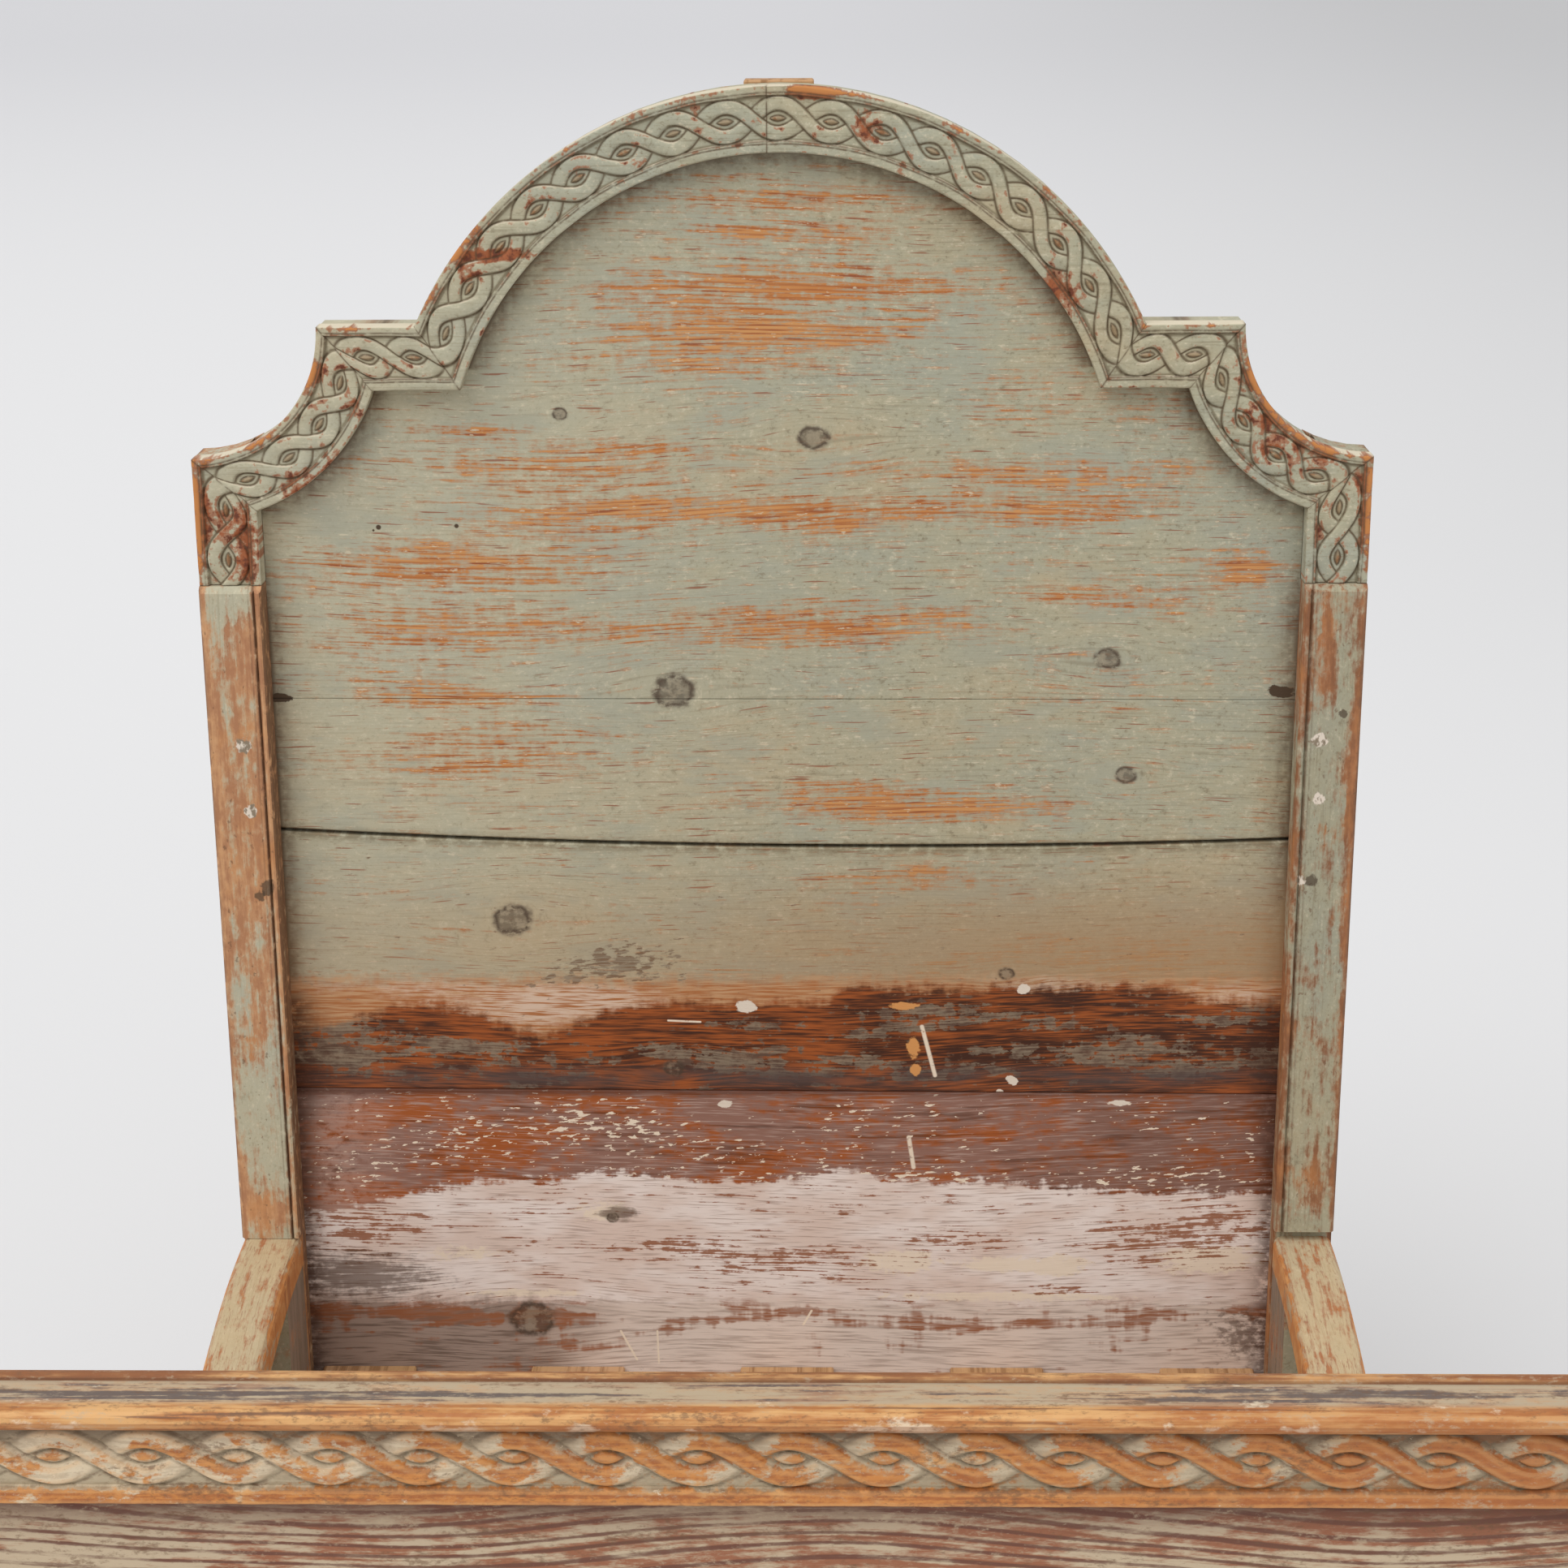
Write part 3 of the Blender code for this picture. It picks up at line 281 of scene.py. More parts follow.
class Paint:
    """A material under construction, with the piece's own coordinates as fields."""

    def __init__(self, name):
        self.material = bpy.data.materials.new(name)
        self.material.use_nodes = True
        self.tree = self.material.node_tree
        self.node = partial(add_node, self.tree)
        self.place = self.node("TexCoord", {}, "Object")
        self.x, self.y, self.z = self.split(self.place)
        self.normal_x, self.normal_y, self.normal_z = self.split(self.node("TexCoord", {}, "Normal"))

    def split(self, vector):
        return [self.node("SeparateXYZ", {0: vector}, axis) for axis in "XYZ"]

    def scaled(self, scale, shift):
        """Place times a scale plus a shift, axis by axis."""
        return self.node("VectorMath", {0: self.place, 1: scale, 2: shift}, operation="MULTIPLY_ADD")

    def texture(self, place, detail=4.0, roughness=0.55):
        inputs = {"Vector": place, "Scale": 1.0, "Detail": detail, "Roughness": roughness}
        return self.node("TexNoise", inputs)

    def noise(self, x, y, z, **character):
        """Noise over fields or numbers that stand for the three axes."""
        return self.texture(self.node("CombineXYZ", {0: x, 1: y, 2: z}), **character)

    def pattern(self, x, y, z, seed=0.0, **character):
        """Noise with a frequency per metre along each axis; the seed picks another sample."""
        return self.texture(self.scaled((x, y, z), (0.0, seed, 0.0)), **character)

    def attributes(self, *names):
        """Fields that the carved meshes carry on their points."""
        return [self.node("Attribute", {}, "Fac", attribute_name=name) for name in names]

    def blend(self, share, first, second):
        """Colour that goes from the first to the second as the share goes from zero to one."""
        inputs = {0: share, MIX_FIRST: first, MIX_SECOND: second}
        return self.node("Mix", inputs, MIX_RESULT, data_type="RGBA")

    def layers(self, colour, *coats):
        """Colour under coats, each given as share and tint."""
        for share, tint in coats:
            colour = self.blend(share, colour, tint)
        return colour

    def centred(self, x, z, half_length, half_height):
        """Place seen from an oval on the plane that faces the foot; its rim lies at distance one."""
        scale = (1 / half_length, 0.0, 1 / half_height)
        return self.scaled(scale, (-x / half_length, 0.0, -z / half_height))

    def distance(self, *oval):
        """Distance from an oval's middle, counted in its own half sizes."""
        return self.node("VectorMath", {0: self.centred(*oval)}, "Value", operation="LENGTH")

    def spots(self, places, total):
        """Adds soft ovals to a field, each given as x, z, half length, half height and strength."""
        for *oval, strength in places:
            soft = self.node("TexGradient", {0: self.centred(*oval)}, "Fac", gradient_type="SPHERICAL")
            total = soft.math("MULTIPLY_ADD", strength, total)
        return total

    def stroke(self, start, end, width):
        """A thin straight mark between two places on the plane that faces the foot."""
        step = Vector(end) - Vector(start)
        across, up = step / step.length_squared
        from_x = self.x - start[0]
        from_z = self.z - start[1]
        share = (from_x * across + from_z * up).smaller(1.0).larger(0.0)
        return span(from_x - share * step.x, from_z - share * step.y).step(width, width * 0.4)

    def finish(self, colour, height, roughness, bump_depth):
        """The material with its colour, gloss and a fine bump."""
        bump = {"Strength": BUMP_STRENGTH, "Distance": bump_depth, "Height": height}
        surface = {"Base Color": colour, "Roughness": roughness, "Specular IOR Level": SPECULAR}
        surface["Normal"] = self.node("Bump", bump)
        for slot, value in surface.items():
            plug(self.tree, self.tree.nodes["Principled BSDF"].inputs[slot], value)
        return self.material


# Wood and paint shared by the finishes

def growth_lines(p, along, grain, pitch, unrest):
    """Growth lines: waves across the grain whose spacing and course drift."""
    shift = p.noise(along * 1.3, 4.0, grain * 24, detail=2) * unrest
    return (grain * (math.tau / pitch) + shift).math("SINE")


def pine(p, f, lines):
    """Bare pine of the panel: colour drift, growth lines and short dark streaks."""
    return p.layers(
        PINE_ORANGE,
        (f.drift.step(0.42, 0.6), PINE_PALE),
        (lines.step(0.0, 0.9) * 0.5, PINE_DARK),
        (f.dash.step(0.52, 0.66) * 0.7, PINE_DARK))


def sage(p, along, grain, depth):
    """Matt sage paint: drifting tint, mottling, brush lines, grit and small dark specks."""
    tint = p.noise(along * 5, depth * 6, grain * 9, detail=6, roughness=0.7)
    mottle = p.noise(along * 70, depth * 80, grain * 130, detail=5, roughness=0.75)
    brush = p.noise(along * 14, depth * 60, grain * 420, detail=2)
    grit = p.noise(along * 260, depth * 260, grain * 380, detail=2, roughness=0.7)
    uneven = mottle * 0.6 + grit * 0.4
    return p.layers(
        SAGE_COOL,
        (tint.step(0.32, 0.54), SAGE_GREEN),
        (tint.step(0.48, 0.7), SAGE_WARM),
        (uneven.step(0.52, 0.66) * 0.75, SAGE_PALE),
        (uneven.step(0.48, 0.34) * 0.6, SAGE_DARK),
        (brush.step(0.54, 0.74) * 0.4, SAGE_DARK),
        (grit.step(0.27, 0.22) * 0.8, SPECK))


def worn_through(p, worn, level, paint, wood):
    """Paint that thins to a brown film and then to bare wood as the wear passes a level."""
    film = worn.step(level - 0.06, level - 0.004) * 0.6
    return p.layers(paint, (film, THIN_FILM), (worn.step(level - 0.012, level + 0.024), wood))


def grimy(p, colour):
    """Fine dirt and pale scuffs on wood that is handled."""
    grit = p.pattern(150, 300, 300, roughness=0.75)
    smudge = p.pattern(16, 90, 70, roughness=0.65)
    mixed = grit * 0.55 + smudge * 0.45
    return p.layers(
        colour, (mixed.step(0.52, 0.64) * 0.65, SPECK), (mixed.step(0.46, 0.35) * 0.6, STRIP_BEIGE))


def back_wood(p, colour, along, across):
    """Unpainted wood on the faces that look away from the foot."""
    lines = p.noise(along * 2, p.y * 30, across * 120, detail=3)
    fine = p.noise(along * 14, p.y * 60, across * 500, detail=2)
    dark = (lines * 0.6 + fine * 0.4).step(0.42, 0.64) * 0.75
    return p.blend(p.normal_y.step(0.3, 0.7), colour, p.blend(dark, AGED_PINE, AGED_PINE_DARK))


# Headboard panel: rows of places and sizes in thousandths of a metre, strengths in thousandths

def thousandths(*rows):
    return [tuple(value / 1000 for value in row) for row in rows]


# Knots as place in x and z, and radius
KNOTS = thousandths(
    (31, 1263, 12.5), (-104.5, 1017, 18), (311, 1048.6, 11.5), (332, 932, 9.5), (-267, 783.6, 17.5),
    (-206, 1286.7, 6.5), (-263, 345.4, 21), (-111.5, 626, 9.5), (-176.5, 460.6, 6), (219.4, 726.3, 7))

# Rubbed places as centre, half length, half height and strength
RUBBED = thousandths(
    (10, 1425, 300, 110, 40), (19, 1484, 200, 24, 80), (0, 1455, 150, 14, 70), (11, 1401.5, 320, 28, 105),
    (-8, 1363, 240, 28, 110), (-76, 1332, 240, 20, 85), (-282, 1270, 80, 14, 110),
    (-77, 1257, 180, 16, 80), (-230, 1238, 220, 32, 95), (234, 1228, 300, 24, 95),
    (-140, 1190, 260, 40, 110), (60, 1193, 140, 24, 105), (265, 1193, 200, 28, 120),
    (-311, 1139, 240, 36, 120), (-204, 1083, 300, 34, 80), (67, 1083, 200, 36, 110),
    (329, 1110, 170, 24, 100), (443, 1137, 60, 30, 130), (-316, 1011, 140, 14, 100),
    (-254, 974, 180, 20, 85), (-295, 945, 200, 28, 95), (91, 912, 200, 24, 100), (146, 895, 200, 17, 95),
    (-380, 1060, 160, 70, 60), (250, 1300, 200, 50, 45), (115, 828, 140, 20, 85), (330, 745, 280, 38, 75))

# Growth lines of panel and footboard, as spacing and unrest, and the wear that takes the paint off
PANEL_GROWTH = (0.0044, 26)
FOOT_GROWTH_LINES = (0.0088, 11)
PANEL_BARE_AT = 0.588
ARM_BARE_AT = 0.561
SIDE_BARE_AT = 0.57

# Open joint between two boards, as x and height at the left post, near its middle and at the right post
OPEN_JOINT = ((-0.499, 0.876), (0.1, 0.8577), (0.499, 0.865))

# Heights where the finishes of the lower boards end, and of the stain's dark foot and a row of blocks
PAINT_END_Z = 0.717
STAIN_TOP_Z = 0.694
STAIN_FOOT_Z = 0.615
LEDGE_Z = 0.601
CHALK_TOP_Z = 0.5
CHALK_END_Z = 0.366
BLOCK_ROW_Z = 0.352

# Heights over which dirt and painted shadow begin along the arch and beside the posts, and stain on the
# lower boards
ARCH_DIRT_AND_SHADOW_Z = (1.33, 1.3)
POST_DIRT_AND_SHADOW_Z = (1.08, 1.2)
DARK_SIDE_Z = (0.72, 0.69)
DARK_SIDE_MIDDLE = 0.64

# Marks on the lower boards as centre, half length, half height and strength
PALE_PLACES = thousandths(
    (-265, 694, 160, 40, 260), (450, 703, 100, 22, 220), (-180, 700, 120, 22, 180),
    (-400, 712, 100, 24, 160), (270, 716, 160, 24, 180))
GREY_PLACES = thousandths(
    (0, 634, 800, 24, 70), (400, 655, 200, 50, 50), (200, 680, 140, 24, 50), (-450, 655, 70, 42, 150),
    (-310, 653, 120, 12, 80), (60, 668, 120, 18, 80))
CREAM_PLACES = thousandths(
    (114, 411, 70, 22, 400), (208, 409, 50, 16, 350), (274, 407, 60, 22, 400), (430, 415, 90, 30, 400),
    (-184, 466, 50, 22, 350), (220, 372, 200, 10, 400), (-270, 375, 120, 8, 350),
    (-330, 420, 100, 20, 250))
CHALK_WORN = thousandths(
    (10, 415, 160, 24, 100), (-110, 430, 100, 20, 100), (410, 445, 160, 60, 85),
    (-440, 450, 100, 40, 100), (180, 440, 100, 20, 80), (300, 380, 80, 10, 100))
SCUFFS = thousandths((-440, 394, 140, 46, 310), (-170, 465, 30, 14, 400), (470, 330, 60, 50, 300))
CRUST = thousandths((-160, 738, 85, 32, 200), (-225, 722, 60, 20, 100))
FLAKE_PLACES = thousandths(
    (-170, 566, 120, 40, 100), (-340, 552, 120, 35, 70), (-90, 528, 200, 30, 60), (100, 505, 400, 16, 60),
    (400, 510, 140, 30, 60), (-440, 510, 60, 40, 50))

# Small marks: scratches as two ends and width, nail holes as place and radius, others with half sizes
SCRATCHES = thousandths(
    (136.4, 670.1, 149.8, 617.6, 2.8), (124, 550, 129, 517, 3), (-171.2, 331.7, -155.2, 299, 1.6),
    (-133.6, 331.8, -132.6, 294.3, 1.4), (25.4, 355.5, 17, 339.7, 1.6), (-116, 676.5, -84, 675, 1.4))
CHIPS = thousandths((119.4, 691.8, 15, 4.2), (127.7, 648.3, 7.5, 11), (130.3, 623.7, 6, 7))
CRUMBS = thousandths(
    (237.3, 710.8, 7.5, 6), (226.8, 612.4, 6, 5.5), (214.9, 600.1, 4, 3), (-37.7, 691.7, 10, 7),
    (333, 588, 13, 3.4), (-60, 586, 8, 4))
IRON_MARKS = thousandths((-484, 1011, 12, 5), (478.5, 1016, 16, 6.5))
NAIL_HOLES = thousandths((-381, 1179, 3), (-307, 1180, 2.6), (-386, 1176, 1.4))

# Boards that share a finish, as lowest and highest height
UPPER_BOARDS = (0.88, 1.6)
LOWER_BOARD = (0.6, 0.88)
BOTTOM_BOARD = (0.2, 0.6)


def within(places, board):
    """The places that lie on a board."""
    return [place for place in places if board[0] < place[1] < board[1]]


def knot_field(p, knots):
    """Grain height bent round the knots, with masks for the knots' rims and hearts."""
    grain = p.z + (p.pattern(1.6, 0, 2.5, seed=3, detail=1) - 0.5) * 0.05
    wobble = (p.pattern(70, 0, 70, seed=5, detail=3) - 0.5) * 0.8
    rim = heart = wobble * 0.0
    for x, z, radius in knots:
        bend = p.distance(x, z, radius * 9, radius * 3.6).step(1.0, 0.0)
        grain = grain - bend * (p.z - z) * 0.7
        distance = p.distance(x, z, radius * 1.1, radius * 0.9) + wobble
        rim = rim.larger(distance.near(0.85, 0.2))
        heart = heart.larger(distance.step(1.3, 0.4))
    return grain, rim, heart


def panel_fields(p, grain):
    """Noises shared by the panel's finishes, most of them long across the board and short up it."""
    return SimpleNamespace(
        drift=p.pattern(5, 0, 24, seed=1, detail=2),
        streak=p.noise(p.x * 10, 2.0, grain * 240, detail=3, roughness=0.6),
        fine=p.noise(p.x * 26, 3.0, grain * 520, detail=2),
        scrape=p.pattern(85, 0, 15, seed=4, detail=2),
        broken=p.pattern(75, 0, 120, seed=5, detail=5, roughness=0.65),
        cloud=p.pattern(9, 0, 24, seed=6, detail=3, roughness=0.6),
        blocks=p.pattern(10, 0, 46, seed=7, detail=3),
        flake=p.noise(p.x * 64 + p.z * 50, 8.0, p.z * 230 - p.x * 36, detail=3),
        dash=p.noise(p.x * 20, 9.0, grain * 400, detail=1))


def frame_dirt_and_shadow(p, f):
    """Dirt and painted shadow on the panel along the arch, the hollows and the posts: a soft band and a
    crisp line at their edge.
    """
    arch = abs(span(p.x, p.z - ARCH_CENTRE[1]) - ARCH_INNER_RADIUS) + p.z.step(*ARCH_DIRT_AND_SHADOW_Z)
    shoulder = span(abs(p.x) - SHOULDER_CENTRE[0], p.z - SHOULDER_CENTRE[1])
    hollow = abs(shoulder - SHOULDER_RADIUS - BAND)
    post = abs(abs(p.x) - POST_INNER) * (p.x.step(0.1, -0.1) * 0.3 + 0.8)
    post = post + p.z.step(*POST_DIRT_AND_SHADOW_Z) * 0.02
    gap = arch.smaller(hollow).smaller(post)
    soft = (gap / 0.013).falloff() * (f.broken * 0.6 + f.scrape * 0.4).step(0.3, 0.62)
    return soft.larger((gap / 0.0045).falloff())


def open_joint_height(p):
    """Height of the bowed open joint: a parabola through its three places."""
    square, slope, level = np.polyfit(*zip(*OPEN_JOINT), 2)
    return p.x * p.x * float(square) + p.x * float(slope) + float(level)


def rubbed_sage(p, f, grain, board):
    """Sage paint, rubbed through along the grain, with dirt and painted shadow along the frame, dirt along
    the open joint and painted light towards the left.
    """
    lines = growth_lines(p, p.x, grain, *PANEL_GROWTH)
    worn = f.drift * 0.13 + f.streak * 0.35 + f.fine * 0.18 + f.scrape * 0.09 + f.broken * 0.25
    worn = p.spots(within(RUBBED, board), worn + lines * 0.01)
    paint = p.layers(
        sage(p, p.x, grain, p.y),
        # painted light: the paint lighter towards the left
        (p.x.step(0.15, -0.4) * 0.3, SAGE_PALE),
        (f.cloud.step(0.5, 0.64) * 0.55, SAGE_COOL))
    colour = p.layers(
        worn_through(p, worn, PANEL_BARE_AT, paint, pine(p, f, lines)),
        (f.dash.step(0.66, 0.71) * 0.75, RED_BROWN),
        ((f.broken * 0.6 + f.fine * 0.4).step(0.575, 0.635) * 0.8, SAGE_PALE),
        (p.z.near(open_joint_height(p), 0.0065) * f.broken.step(0.34, 0.56) * 0.8, SAGE_DARK),
        # dirt and painted shadow along the frame and posts
        (frame_dirt_and_shadow(p, f) * 0.78, FRAME_DIRT_AND_SHADOW))
    for x, z, radius in within(NAIL_HOLES, board):
        colour = p.blend(p.distance(x, z, radius, radius).step(1.0, 0.6), colour, GRIME)
    return colour


def bare_band(p, f):
    """Wood laid bare just under the sage paint, chalky in places."""
    pale = p.spots(PALE_PLACES, f.broken * 0.35 + f.fine * 0.35 + f.cloud * 0.3)
    return p.layers(
        BARE_TAN,
        ((f.fine * 0.6 + f.streak * 0.4).step(0.42, 0.58), BARE_ORANGE),
        (pale.step(0.54, 0.74) * f.fine.step(0.62, 0.44), PINK_CHALK))


def brown_stain(p, f):
    """Old brown stain, deeper on the right, with grey paint left in blocks and a dark foot."""
    lines = f.fine * 0.4 + f.streak * 0.3 + f.cloud * 0.3 + p.x.step(-0.05, 0.15) * 0.022
    grey = p.blend((f.fine * 0.5 + f.broken * 0.5).step(0.44, 0.6), STAIN_GREY, SCUFF)
    left = p.spots(GREY_PLACES, f.blocks * 0.4 + f.broken * 0.36 + f.scrape * 0.1 + f.streak * 0.14)
    foot = p.z.near(STAIN_FOOT_Z, 0.011) * f.cloud.step(0.3, 0.55)
    return p.layers(
        BROWN_STAIN,
        (lines.step(0.42, 0.58), BROWN_DEEP),
        (left.step(0.54, 0.572) * 0.9, grey),
        (foot * (p.x.step(-0.3, -0.44) * -0.4 + 0.85), STAIN_BLUE))


def mauve_film(p, f):
    """Thin mauve film over the stain, darker on the right, with cream flakes."""
    warm = f.cloud * 0.5 + f.broken * 0.25 + f.streak * 0.25 + p.x.step(0.2, -0.35) * 0.04
    flakes = p.spots(FLAKE_PLACES, f.flake * 0.8 + f.drift * 0.2)
    return p.layers(
        FILM_MAUVE,
        (warm.step(0.48, 0.58), FILM_ORANGE),
        (f.fine.step(0.5, 0.66) * 0.6, FILM_LILAC),
        ((f.streak * 0.6 + f.blocks * 0.4).step(0.51, 0.63) * 0.55, BROWN_DEEP),
        (p.x.step(0.2, 0.38) * 0.24, BROWN_DEEP),
        (p.x.step(-0.38, -0.46) * f.broken.step(0.36, 0.56) * 0.5, FILM_LILAC),
        (flakes.step(0.62, 0.636), CREAM),
        (p.z.near(LEDGE_Z, 0.006) * 0.85, LEDGE_BROWN))


def chalk_paint(p, f):
    """Chalky white paint, scraped through along the grain."""
    bare = f.streak * 0.34 + f.fine * 0.22 + f.broken * 0.28 + f.drift * 0.16
    scuffs = p.spots(SCUFFS, f.broken * 0.4 + f.streak * 0.3 + f.fine * 0.3)
    return p.layers(
        CHALK,
        (f.cloud.step(0.38, 0.62), CHALK_PINK),
        (f.fine.step(0.5, 0.66) * 0.6, CHALK_LINE),
        (p.spots(CREAM_PLACES, f.broken * 0.6).step(0.44, 0.54) * 0.85, CREAM),
        (p.spots(CHALK_WORN, bare).step(0.556, 0.59) * 0.9, WORN_BROWN),
        (scuffs.step(0.58, 0.74) * 0.75, SCUFF))


def scrubbed_foot(p, f):
    """Grey scrubbed wood at the bed bottom, dark at the left, with a row of brown blocks."""
    lines = f.fine * 0.5 + f.streak * 0.5
    left = (p.x + (f.cloud - 0.5) * 0.1).step(-0.16, -0.27)
    row = p.z.near(BLOCK_ROW_Z, 0.018) * (left * 0.06 + 0.075)
    brown = f.blocks * 0.6 + f.scrape * 0.22 + f.streak * 0.18 + row
    scratched = f.fine.step(0.6, 0.44) * 0.45 + 0.5
    return p.layers(
        SCRUBBED,
        (lines.step(0.46, 0.62) * 0.58, SCRUBBED_DARK),
        (left * 0.8, p.blend(lines.step(0.46, 0.6), SCRUBBED_DARK, SCUFF)),
        (brown.step(0.555, 0.62) * scratched, WORN_BROWN),
        (p.spots(SCUFFS, f.broken).step(0.62, 0.8) * 0.7, SCUFF))


def stain_edge(p):
    """Height of the brown stain's top: low at the left, a pale dip, higher on the right."""
    edge = p.x.step(-0.36, -0.48) * -0.028 + STAIN_TOP_Z
    edge = edge - p.x.near(-0.245, 0.06) * 0.032
    return edge + p.x.step(0.03, 0.07) * p.x.step(0.43, 0.37) * 0.017


def chalk_edge(p):
    """Height of the chalk paint's top, rising twice and falling to both ends."""
    edge = p.x.step(-0.3, -0.48) * -0.032 + p.x.step(0.15, 0.42) * -0.012 + CHALK_TOP_Z
    return edge + p.x.near(-0.17, 0.05) * 0.01 + p.x.near(0.06, 0.04) * 0.011


def ragged_level(p, f):
    """Height on the panel, roughened so that the finishes end in ragged edges."""
    return p.z + (f.streak - 0.5) * 0.03 + (f.broken - 0.5) * 0.024 + (f.scrape - 0.5) * 0.02


def stained_sage(p, f, grain, board):
    """Lower board: sage paint, then bare wood, then brown stain down to the ledge."""
    level = ragged_level(p, f)
    crust = p.spots(CRUST, f.broken * 0.5 + f.flake * 0.5)
    return p.layers(
        rubbed_sage(p, f, grain, board),
        (p.z.step(0.88, 0.74) * (p.x.step(-0.3, 0.4) * 0.5 + 0.3), OLIVE_TAN),
        ((level - PAINT_END_Z).step(0.014, -0.008), bare_band(p, f)),
        (crust.step(0.6, 0.66) * 0.8, p.blend(f.fine.step(0.42, 0.58), SPECK, STAIN_GREY)),
        ((level - stain_edge(p)).step(0.008, -0.006), brown_stain(p, f)))


def chalked_film(p, f, grain, board):
    """Bottom board: mauve film, chalk paint and scrubbed wood."""
    level = ragged_level(p, f)
    return p.layers(
        mauve_film(p, f),
        ((level - chalk_edge(p)).step(0.004, -0.003), chalk_paint(p, f)),
        ((level - CHALK_END_Z).step(0.008, -0.008), scrubbed_foot(p, f)))


def dark_sides(p, f, colour):
    """Dark stain on the lower boards beside the posts, widest in the brown band."""
    reach = p.z.near(DARK_SIDE_MIDDLE, 0.05) * 0.024 + 0.014
    side = abs(p.x).near(POST_INNER, reach) * p.z.step(*DARK_SIDE_Z) * f.broken.step(0.3, 0.55)
    return p.blend(side * 0.75, colour, BROWN_DEEP)


def small_marks(p, f, colour, board):
    """Scratches, chips, crumbs of paint and iron stains."""
    rough = (f.broken - 0.5) * 2.0
    for start_x, start_z, end_x, end_z, width in within(SCRATCHES, board):
        line = p.stroke((start_x, start_z), (end_x, end_z), width)
        colour = p.blend(line * f.broken.step(0.32, 0.46), colour, CREAM)
    for places, tint in ((CHIPS, CHIP_TAN), (CRUMBS, PLASTER), (IRON_MARKS, GRIME)):
        for place in within(places, board):
            colour = p.blend((p.distance(*place) + rough).step(1.0, 0.8), colour, tint)
    return colour


def board_paint(name, board, finish):
    """Material of the panel boards between two heights."""
    p = Paint(name)
    grain, rim, heart = knot_field(p, within(KNOTS, board))
    f = panel_fields(p, grain)
    colour = small_marks(p, f, dark_sides(p, f, finish(p, f, grain, board)), board)
    knot = p.blend((f.broken * 0.6 + f.scrape * 0.4).step(0.46, 0.56), STAIN_GREY, KNOT_BROWN)
    rim = rim * f.broken.step(0.34, 0.52)
    colour = p.layers(colour, (heart * 0.66, knot), (rim * 0.85, KNOT_BROWN))
    height = f.fine * 0.5 + f.broken * 0.3 + f.streak * 0.3
    return p.finish(back_wood(p, colour, p.x, p.z), height, roughness=0.72, bump_depth=0.0005)


# Carved frame and posts: places as centre, half length, half height and strength of the wear
CARVED_CHIPS = thousandths(
    (-292, 1436, 34, 40, 130), (-258, 1437, 56, 8, 340), (252, 1400, 30, 30, 260),
    (32, 1582, 30, 12, 340), (80, 1550, 20, 18, 220), (480, 1272, 90, 70, 120), (-520, 1180, 50, 60, 120),
    (-410, 1236, 50, 30, 180), (-545, 1180, 14, 80, 200), (545, 1190, 14, 80, 180),
    (-437, 1325, 30, 40, 160), (436, 1320, 20, 50, 140), (-503, 1155, 13, 65, 220),
    (-455, 1226, 26, 20, 150), (-395, 1300, 14, 50, 150), (-487, 1268, 26, 20, 140),
    (503, 1180, 12, 40, 150))
LEFT_POST_WEAR = thousandths(
    (-515, 1060, 55, 100, 50), (-547, 980, 14, 260, 100), (-525, 800, 60, 130, 50),
    (-515, 940, 40, 80, 30), (-522, 700, 22, 90, 70), (-525, 590, 80, 160, -90), (-545, 520, 14, 60, 120),
    (-525, 1112, 60, 26, -80), (-520, 480, 40, 30, 100))
RIGHT_POST_WEAR = thousandths(
    (510, 1080, 20, 80, 120), (545, 900, 12, 330, 110), (520, 1040, 14, 50, 90), (512, 735, 30, 40, 90),
    (524, 668, 40, 40, 100), (530, 610, 30, 30, 60), (525, 490, 30, 20, 90), (538, 940, 14, 60, 90),
    (525, 850, 12, 30, 70), (520, 890, 50, 90, -40), (525, 560, 50, 110, 50))

# Wear all over each post, plaster dabs and gouges as place and radius, width of the facing's bead
LEFT_POST_BASE = 0.014
RIGHT_POST_BASE = -0.055
LEFT_POST_PLASTER = thousandths((-516.5, 971.1, 8.5), (-512.7, 905.5, 7.5))
RIGHT_POST_PLASTER = thousandths((512.4, 976.3, 8.5), (513.6, 917, 6.5), (500, 835, 5))
POST_GOUGES = thousandths((-501.7, 826.5, 8), (-511, 819, 6), (510, 834.5, 6.5), (533, 1002, 4))
BEAD_WIDTH = 0.0082


